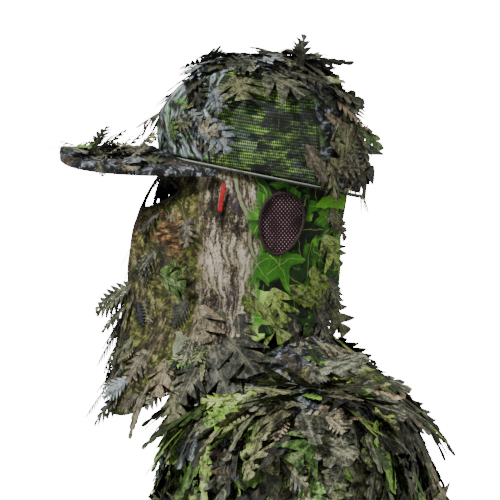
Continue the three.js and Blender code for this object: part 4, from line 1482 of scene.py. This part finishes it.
def jacket():
    pieces = {
        "back_cloth": ("back_panel", 1900, (0.75, 0.72)),
        "front_cloth_left": ("front_panel_left", 930, (0.38, 0.72)),
        "front_cloth_right": ("front_panel_right", 930, (0.38, 0.72)),
    }
    for seed, (name, (node, count, flat)) in enumerate(pieces.items()):
        cloth = cloth_from(node, name, "leafy_base_cloth", "leafy_cloth", 0.0022, 1)
        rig.ride(cloth, "jacket")
        leaves = leafy(
            f"leaves_{node}", node, count, 100 + seed, torso_centre, mix=GRASSY_MIX, lifts=(3, 15),
            skip=near_zip, green=0.28,
        )
        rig.ride(leaves, "jacket")
        area = sheet_area(cloth)
        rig.sheet(
            cloth, flat=flat, held="hung", rests_on=["neck_seat"], area=min(area, 0.99 * flat[0] * flat[1]),
            with_pieces=[leaves],
        )
    collar = cloth_from("collar", "collar_cloth", "leafy_base_cloth", "leafy_cloth", 0.0, 2)
    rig.ride(collar, "jacket")
    area = min(sheet_area(collar), 0.99 * 0.36 * 0.06)
    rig.sheet(collar, flat=(0.36, 0.06), held="stretched", rests_on=["back_cloth"], area=area)
    hem_gathers = (Vector((0, 0, -1)), Vector((0, -0.005, 0)), 40, 0.0011)
    hem = cloth_from(
        "hem_band", "hem_elastic", "ribbed_elastic", "elastic_binding", 0.0, 3, gathers=hem_gathers
    )
    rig.ride(hem, "jacket")


def sleeves():
    for k, (side_name, side) in enumerate(SIDES.items()):
        top, down = arm_directions(side)
        centre = arm_centre(side)
        upper, lower = f"upper_arm_{side_name}", f"forearm_{side_name}"
        bend = [top + down * (ELBOW - ELBOW_HALF), top + down * (ELBOW + ELBOW_HALF)]
        cap_bend = [top - down * 0.03, top + down * ARMHOLE_END]
        rows = {
            f"sleeve_cap_{side_name}": (("jacket", upper, *cap_bend), 300, (0.43, 0.20)),
            f"upper_sleeve_{side_name}": ((upper,), 150, (0.41, 0.08)),
            f"elbow_section_{side_name}": ((upper, lower, *bend), 250, (0.39, 0.16)),
            f"lower_sleeve_{side_name}": ((lower,), 240, (0.36, 0.18)),
        }
        above = "back_cloth"
        for n, (node, (hold, count, flat)) in enumerate(rows.items()):
            cloth = cloth_from(node, f"{node}_cloth", "leafy_base_cloth", "leafy_cloth", 0.0020, 1, centre)
            sizes = (0.026, 0.046) if "upper" in node else (0.030, 0.058)
            leaves = leafy(
                f"leaves_{node}", node, count, 200 + 10 * k + n, centre, sizes, arm_flow(down), green=0.2
            )
            for piece in (cloth, leaves):
                if len(hold) == 1:
                    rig.ride(piece, hold[0])
                else:
                    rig.blend(piece, hold[0], hold[1], start=hold[2], end=hold[3])
            area = min(sheet_area(cloth), 0.99 * flat[0] * flat[1])
            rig.sheet(cloth, flat=flat, held="hung", rests_on=[above], area=area, with_pieces=[leaves])
            above = cloth
        cuff = cloth_from(
            f"cuff_{side_name}",
            f"cuff_elastic_{side_name}",
            "ribbed_elastic",
            "elastic_binding",
            levels=3,
            gathers=(down, top, 18, 0.0009),
        )
        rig.ride(cuff, lower)


def arm_flow(down):
    def flow(point, rng):
        return down + strayed(rng, 0.5, 0.35)

    return flow


# ---------- Leaves on the cap and mask ----------


def crown_flow(point, rng):
    away = point - Vector((0, -0.03, 0.2))
    return Vector((away.x, away.y * 1.4, -0.02)).normalized() + strayed(rng, 0.8, 0.6)


def on_side(probe, side, y, z):
    """The cloth's place and normal, seen level from that side."""
    hit, normal, _, _ = probe.ray_cast(Vector((side * 0.5, y, z)), Vector((-side, 0, 0)))
    if normal is not None and normal.x * side < 0:
        normal = -normal
    return hit, normal


# y, z, shape, length, turn (degrees from straight down, towards the nape), lift, tone, value
CROWN_LEAVES = [
    (-0.106, 0.199, "hand", 0.034, 95, 22, 0.60, 1.6),
    (-0.122, 0.212, "spiky", 0.034, 80, 18, 0.30, 1.0),
    (-0.128, 0.214, "spiky", 0.030, 60, 16, 0.90, 0.7),
    (0.030, 0.238, "fern", 0.056, 25, 14, 0.62, 1.1),
    (0.004, 0.190, "beech", 0.042, 28, 12, 0.55, 0.75),
    (-0.132, 0.240, "spiky", 0.030, -115, 30, 0.12, 0.8),
    (-0.139, 0.222, "hand", 0.032, -95, 35, 0.05, 0.9),
    (0.000, 0.266, "spiky", 0.034, 165, 45, 0.12, 0.8),
    (-0.064, 0.256, "hand", 0.044, 15, 14, 0.40, 0.9),
    (-0.036, 0.258, "hand", 0.050, 40, 12, 0.34, 0.8),
    (-0.084, 0.244, "spiky", 0.040, 20, 12, 0.80, 0.9),
    (-0.010, 0.260, "spiky", 0.040, 60, 14, 0.20, 0.8),
    (0.024, 0.250, "oak", 0.040, 70, 14, 0.30, 0.8),
    (0.048, 0.222, "spiky", 0.036, 60, 22, 0.12, 0.8),
    (0.052, 0.198, "hand", 0.036, 20, 16, 0.05, 0.9),
    (0.044, 0.176, "spiky", 0.034, 0, 10, 0.15, 0.8),
    (0.020, 0.168, "spiky", 0.036, 30, 18, 0.40, 0.7),
    (-0.090, 0.215, "spiky", 0.046, 35, 8, 0.79, 0.9),
    (-0.108, 0.223, "fern", 0.040, 40, 8, 0.80, 0.9),
    (-0.098, 0.206, "spiky", 0.037, 45, 10, 0.70, 1.0),
]
# x, y and lift
VISOR_LEAVES = [
    (0.040, -0.216, 58),
    (0.052, -0.206, 66),
    (0.030, -0.196, 60),
    (0.056, -0.190, 50),
    (0.044, -0.178, 64),
    (0.060, -0.168, 46),
    (0.036, -0.160, 55),
    (0.054, -0.154, 40),
    (0.010, -0.205, 62),
    (0.050, -0.184, 30),
    (0.066, -0.160, 22),
    (0.020, -0.222, 8),
    (0.034, -0.217, 6),
    (0.046, -0.208, 5),
]


def turned_way(turn):
    return Vector((0, math.sin(math.radians(turn)), -math.cos(math.radians(turn))))


def placed_leaves(leaves, probe, rows):
    """The leaves of a list, on the left as listed and on the right a little moved."""
    rng = leaves.rng
    for side in SIDES.values():
        for y, z, shape, size, turn, lift, tone, value in rows:
            if side < 0:
                y, z = y + rng.uniform(-0.006, 0.006), z + rng.uniform(-0.008, 0.008)
            hit, normal = on_side(probe, side, y, z)
            if hit is None:
                continue
            way = turned_way(turn)
            leaves.put(
                shape, hit, way, normal, size, lift, rng.uniform(-0.25, 0.0), 0.4, rng.uniform(-12, 12),
                1.0, tone, 0.85 * value,
            )


def crown_middle(point):
    return CROWN_CENTRE


def cap_leaves(pieces, areas, probe):
    leaves = leafy(
        "leaves_crown_front", "crown_front_panel", 18, 301, crown_middle, (0.02, 0.04), crown_flow,
        lifts=(2, 9), skip=lambda spot: spot.z < 0.222, green=0.06, others=COOL,
    )
    tops = leafy(
        "leaves_crown_top", "crown_top_panel", 64, 302, crown_middle, (0.026, 0.046), crown_flow,
        lifts=(2, 16), green=0.1, others=COOL,
    )
    rear = leafy(
        "leaves_crown_rear", "crown_rear_panel", 44, 303, crown_middle, (0.026, 0.048), crown_flow,
        lifts=(2, 20), green=0.06,
    )
    accents = Leaves(304)
    placed_leaves(accents, probe, CROWN_LEAVES)
    trims = accents.made("leaves_crown_accents")
    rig.ride(trims, "headpiece")
    for key, group in (("crown_front", leaves), ("crown_top", tops), ("crown_rear", rear)):
        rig.ride(group, "headpiece")
        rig.sheet(
            pieces[key], flat=(0.24, 0.16), held="stretched", rests_on=["sweatband"], area=areas[key],
            with_pieces=[group] + ([trims] if key == "crown_top" else []),
        )
    for side in SIDES:
        key = f"crown_side_mesh_{side}"
        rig.sheet(pieces[key], flat=(0.15, 0.12), held="stretched", rests_on=["sweatband"], area=areas[key])


# The same for the mask.
MASK_LEAVES = [
    (-0.168, 0.052, "fern", 0.050, -75, 35, 0.30, 1.1),
    (-0.174, 0.030, "spiky", 0.035, -30, 30, 0.16, 1.0),
    (-0.178, 0.018, "spiky", 0.036, 10, 25, 0.20, 0.9),
    (-0.182, 0.004, "fern", 0.040, -20, 25, 0.17, 1.0),
    (-0.186, -0.012, "spiky", 0.034, 5, 30, 0.30, 0.9),
    (-0.178, -0.028, "spiky", 0.036, -15, 22, 0.10, 0.9),
    (-0.150, 0.080, "spiky", 0.028, -10, 15, 0.20, 0.9),
    (-0.138, 0.064, "hand", 0.040, 70, 14, 0.90, 1.0),
    (-0.152, 0.040, "fern", 0.034, 15, 18, 0.45, 1.0),
    (-0.150, -0.010, "spiky", 0.036, -20, 18, 0.55, 1.0),
    (-0.130, -0.018, "hand", 0.038, 5, 16, 0.64, 1.1),
    (-0.166, 0.000, "hand", 0.032, -40, 18, 0.30, 1.0),
    (-0.085, -0.004, "hand", 0.060, 15, 14, 0.72, 0.75),
    (-0.070, 0.004, "hand", 0.056, 30, 16, 0.72, 0.65),
    (-0.094, -0.012, "spiky", 0.055, -12, 16, 0.20, 0.9),
    (-0.060, -0.008, "oak", 0.050, 40, 14, 0.30, 0.9),
    (-0.190, -0.045, "fern", 0.045, -50, 25, 0.17, 0.9),
    (-0.180, -0.055, "spiky", 0.040, -60, 20, 0.12, 0.8),
    (-0.150, -0.045, "blade", 0.050, -10, 14, 0.50, 1.0),
    (-0.120, -0.040, "spiky", 0.046, 5, 16, 0.42, 1.0),
    (-0.110, -0.055, "fern", 0.046, -20, 16, 0.30, 1.0),
    (-0.030, 0.050, "hand", 0.036, 20, 12, 0.95, 1.1),
    (0.010, 0.070, "oak", 0.038, 30, 16, 0.95, 1.0),
    (0.022, 0.100, "hand", 0.036, 40, 22, 0.95, 1.1),
    (0.026, 0.060, "spiky", 0.034, 25, 26, 0.30, 0.9),
    (0.028, 0.125, "spiky", 0.036, 50, 24, 0.44, 0.9),
    (-0.140, 0.125, "spiky", 0.030, -40, 20, 0.10, 0.8),
    (-0.112, 0.118, "spiky", 0.030, 10, 14, 0.60, 0.9),
    (-0.052, 0.046, "spiky", 0.040, 20, 12, 0.92, 0.7),
    (-0.040, 0.034, "hand", 0.042, 35, 12, 0.95, 0.8),
    (-0.020, 0.036, "oak", 0.040, 10, 12, 0.10, 0.9),
    (-0.004, 0.030, "hand", 0.042, 45, 12, 0.90, 0.8),
    (0.014, 0.034, "spiky", 0.040, 20, 14, 0.12, 0.9),
    (0.026, 0.034, "hand", 0.038, 45, 18, 0.45, 0.9),
    (-0.062, 0.026, "spiky", 0.046, 5, 12, 0.20, 0.8),
    (-0.076, 0.030, "oak", 0.044, -10, 12, 0.42, 0.8),
    (-0.098, 0.034, "hand", 0.040, 15, 12, 0.66, 0.9),
    (-0.012, 0.052, "beech", 0.040, 60, 10, 0.93, 0.8),
    (0.016, 0.046, "beech", 0.040, 20, 14, 0.55, 0.8),
]


def mask_leaves(pieces, areas, probe):
    leaves = Leaves(401)
    rng = leaves.rng
    placed_leaves(leaves, probe, MASK_LEAVES)
    # leaves over the eye openings, dark in tone and dimmed to half: cut leaves and painted shade, standing in for the
    # shaded inside of a worn mask
    for side, size, row in ((-1, 0.036, (0.027, 0.037, 0.049)), (1, 0.017, (0.018, 0.028, 0.038, 0.050))):
        for x in row:
            hit, normal, _, _ = probe.ray_cast(Vector((side * x, -0.5, 0.163)), Vector((0, 1, 0)))
            normal = normal if normal.y < 0 else -normal
            shape, wide = ("beech", 1.5) if side < 0 else ("spiky", 1.3)
            leaves.put(shape, hit, Vector((0, 0, -1)), normal, size, 3, 0.0, 0.3, 0, wide, 0.15, 0.5)
    # small cuttings over the front and the drape
    for _ in range(80):
        angle = rng.uniform(-88, 88)
        z = rng.uniform(-0.07, 0.10) if abs(angle) < 60 else rng.uniform(-0.04, 0.02)
        way = around_head(angle)
        hit, normal, _, _ = probe.ray_cast(Vector((0, HEAD_AXIS_Y, z)) + way * RAY, -way)
        if hit is None or (hit - Vector((0, HEAD_AXIS_Y, z))).dot(way) < 0 or normal.z > 0.9:
            continue
        if abs(angle) > 25 and z > 0.0 and rng.random() < 0.55:
            continue
        if normal.dot(way) < 0:
            normal = -normal
        direction = Vector((rng.gauss(0, 0.4), rng.gauss(0, 0.4), -1))
        leaves.put(
            rng.choice(["spiky", "fern", "blade"]), hit, direction, normal, rng.uniform(0.018, 0.034),
            rng.uniform(10, 30), rng.uniform(-0.3, 0), 0.3,
        )
    group = leaves.made("leaves_mask")
    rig.ride(group, "headpiece")
    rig.sheet(
        pieces["face"], flat=(0.36, 0.27), held="hung", rests_on=["crown_front"],
        area=min(areas["face"], 0.096), with_pieces=[group],
    )
    for side in SIDES:
        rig.sheet(
            pieces[side], flat=(0.2, 0.2), held="hung", rests_on=["crown_rear"],
            area=min(areas[side], 0.0396),
        )


def from_above(shell, x, y):
    """A wall's place and normal, seen from above."""
    return shell.ray_cast(Vector((x, y, RAY)), Vector((0, 0, -1)))[:2]


def visor():
    cloths = []
    for node, name in (
        ("visor_top_cloth", "visor_top"), ("visor_under_cloth", "visor_under"),
        ("visor_edge_binding", "visor_edge"),
    ):
        made = cloth_from(node, name, "leafy_base_cloth", "leafy_cloth", 0.0, 2)
        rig.ride(made, "visor")
        cloths.append(made)
    leaves = Leaves(501)
    rng = leaves.rng
    top = tree_of("visor_top_cloth")
    low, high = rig.box("visor_top_cloth")
    for _ in range(34):
        x, y = rng.uniform(low.x, high.x), rng.uniform(low.y, -0.158)
        hit, normal = from_above(top, x, y)
        if hit is None:
            continue
        way = Vector((x * 6, y - low.y - 0.12, 0)).normalized() + Vector((
            rng.gauss(0, 0.6), rng.gauss(0, 0.6), 0
        ))
        size = rng.uniform(0.02, 0.036) * (0.5 if y < -0.205 else 1)
        leaves.put(
            rng.choice(["spiky", "fern", "hand", "oak"]), hit, way, normal, size, rng.uniform(3, 26),
            rng.uniform(-0.35, 0), 0.4,
        )
    for x, y, lift in VISOR_LEAVES:
        for side in SIDES.values():
            hit, normal = from_above(top, side * x, y)
            way = Vector((side * 0.4, 1 + rng.uniform(-0.5, 0.5), 0))
            leaves.put(
                "spiky", hit, way, normal, rng.uniform(0.022, 0.03), lift, -0.3, 0.3, rng.uniform(-30, 30),
                1.1, some_tone(rng, 0.1),
            )
    group = leaves.made("leaves_visor")
    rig.ride(group, "visor")
    for made, pieces in ((cloths[0], [group]), (cloths[1], [])):
        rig.sheet(
            made, flat=(0.18, 0.15), held="stretched", rests_on=["visor_board"],
            area=min(sheet_area(made), 0.0265), with_pieces=pieces,
        )


# ---------- Zip, bands and tag ----------

ZIP = {"front": -0.1331, "back": -0.1319, "top": -0.122, "bottom": -0.690, "stop": 0.0084}
TOOTH_PITCH = 0.0032  # on one side; the other side's teeth lie half way between
TOOTH = Vector((0.0031, 0.0040, 0.0011))
TAPE_WIDTH = 0.0112


def block(bm, size, centre):
    """One box."""
    place = Matrix.Translation(centre) @ Matrix.Diagonal((*size, 1))
    return bmesh.ops.create_cube(bm, size=1, matrix=place)["verts"]


def zip_half(name, side):
    """One tape with its row of moulded coil."""
    bm = bmesh.new()
    height = ZIP["top"] - ZIP["bottom"]
    middle = Vector((
        side * (0.0028 + TAPE_WIDTH / 2), (ZIP["front"] + ZIP["back"]) / 2, ZIP["top"] - height / 2
    ))
    block(bm, (TAPE_WIDTH, 0.0011, height), middle)
    for face in bm.faces:
        face.material_index = 0
    cloth_faces = len(bm.faces)
    z = ZIP["top"] - 0.001 - (TOOTH_PITCH / 2 if side < 0 else 0)
    while z > ZIP["bottom"] + ZIP["stop"]:
        verts = block(bm, TOOTH, Vector((side * 0.0016, middle.y, z)))
        for v in verts:
            if v.co.x * side < 0.001:  # the head that hooks between its neighbours
                v.co.z = z + (v.co.z - z) * 0.7
        z -= TOOTH_PITCH
    for k, face in enumerate(bm.faces):
        face.material_index = 0 if k < cloth_faces else 1
    bmesh.ops.recalc_face_normals(bm, faces=bm.faces)
    piece = finished(bm, f"zip_{name}", material("zip_tape_cloth"), material("moulded_nylon"), smooth=False)
    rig.replaces(piece, f"zip_tape_{name}")
    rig.slot(piece, "zip_tape")
    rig.ride(piece, "jacket")


def side_tag():
    """A folded strip of ribbon, 5 mm wide, that stands a little off the mask's left seam."""
    low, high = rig.box("side_tag")
    middle = (low + high) / 2
    bm = bmesh.new()
    bmesh.ops.create_grid(bm, x_segments=4, y_segments=16, size=0.5)
    for v in bm.verts:
        across, along = v.co.x * 0.0044, v.co.y * 0.0270
        bow = 0.0009 * math.cos(math.pi * v.co.y) + 0.0003 * math.sin(9 * v.co.y)
        v.co = Matrix.Rotation(math.radians(-9), 3, "X") @ Vector((bow, across, along)) + middle
    bmesh.ops.recalc_face_normals(bm, faces=bm.faces)
    piece = finished(bm, "red_side_tag", material("red_tag"))
    modified(piece, "SOLIDIFY", thickness=0.0012, offset=0.0)
    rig.replaces(piece, "side_tag")
    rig.slot(piece, "tag")
    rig.ride(piece, "headpiece")


FINISHES = {
    "visor_board": "moulded_nylon",
    "nose_wire": "soft_aluminium",
    "zip_bottom_stop": "blackened_zinc",
    "zip_slider": "blackened_zinc",
    "zip_pull_tab": "blackened_zinc",
}


def trims():
    for name, side in SIDES.items():
        zip_half(name, side)
    side_tag()
    for node, name, cloth in (
        ("sweatband", "inner_sweatband", "ribbed_elastic"),
        ("cap_edge_binding", "cap_edge_tape", "grey_binding"),
    ):
        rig.ride(cloth_from(node, name, cloth, "elastic_binding", levels=2), "headpiece")
    for node, name in FINISHES.items():
        mesh = frame["nodes"][node].data
        mesh.materials.clear()
        mesh.materials.append(material(name))


make_camera()
make_studio()
mask_pieces, mask_areas, mask_probe = mask()
crown_pieces, crown_areas, crown_probe = crown()
jacket()
sleeves()
visor()
cap_leaves(crown_pieces, crown_areas, crown_probe)
mask_leaves(mask_pieces, mask_areas, mask_probe)
trims()

visual_box = [list(corner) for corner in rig.bounds()]
with open("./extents.json", "w") as out:
    json.dump({"cad": cad_box, "visual": visual_box}, out)
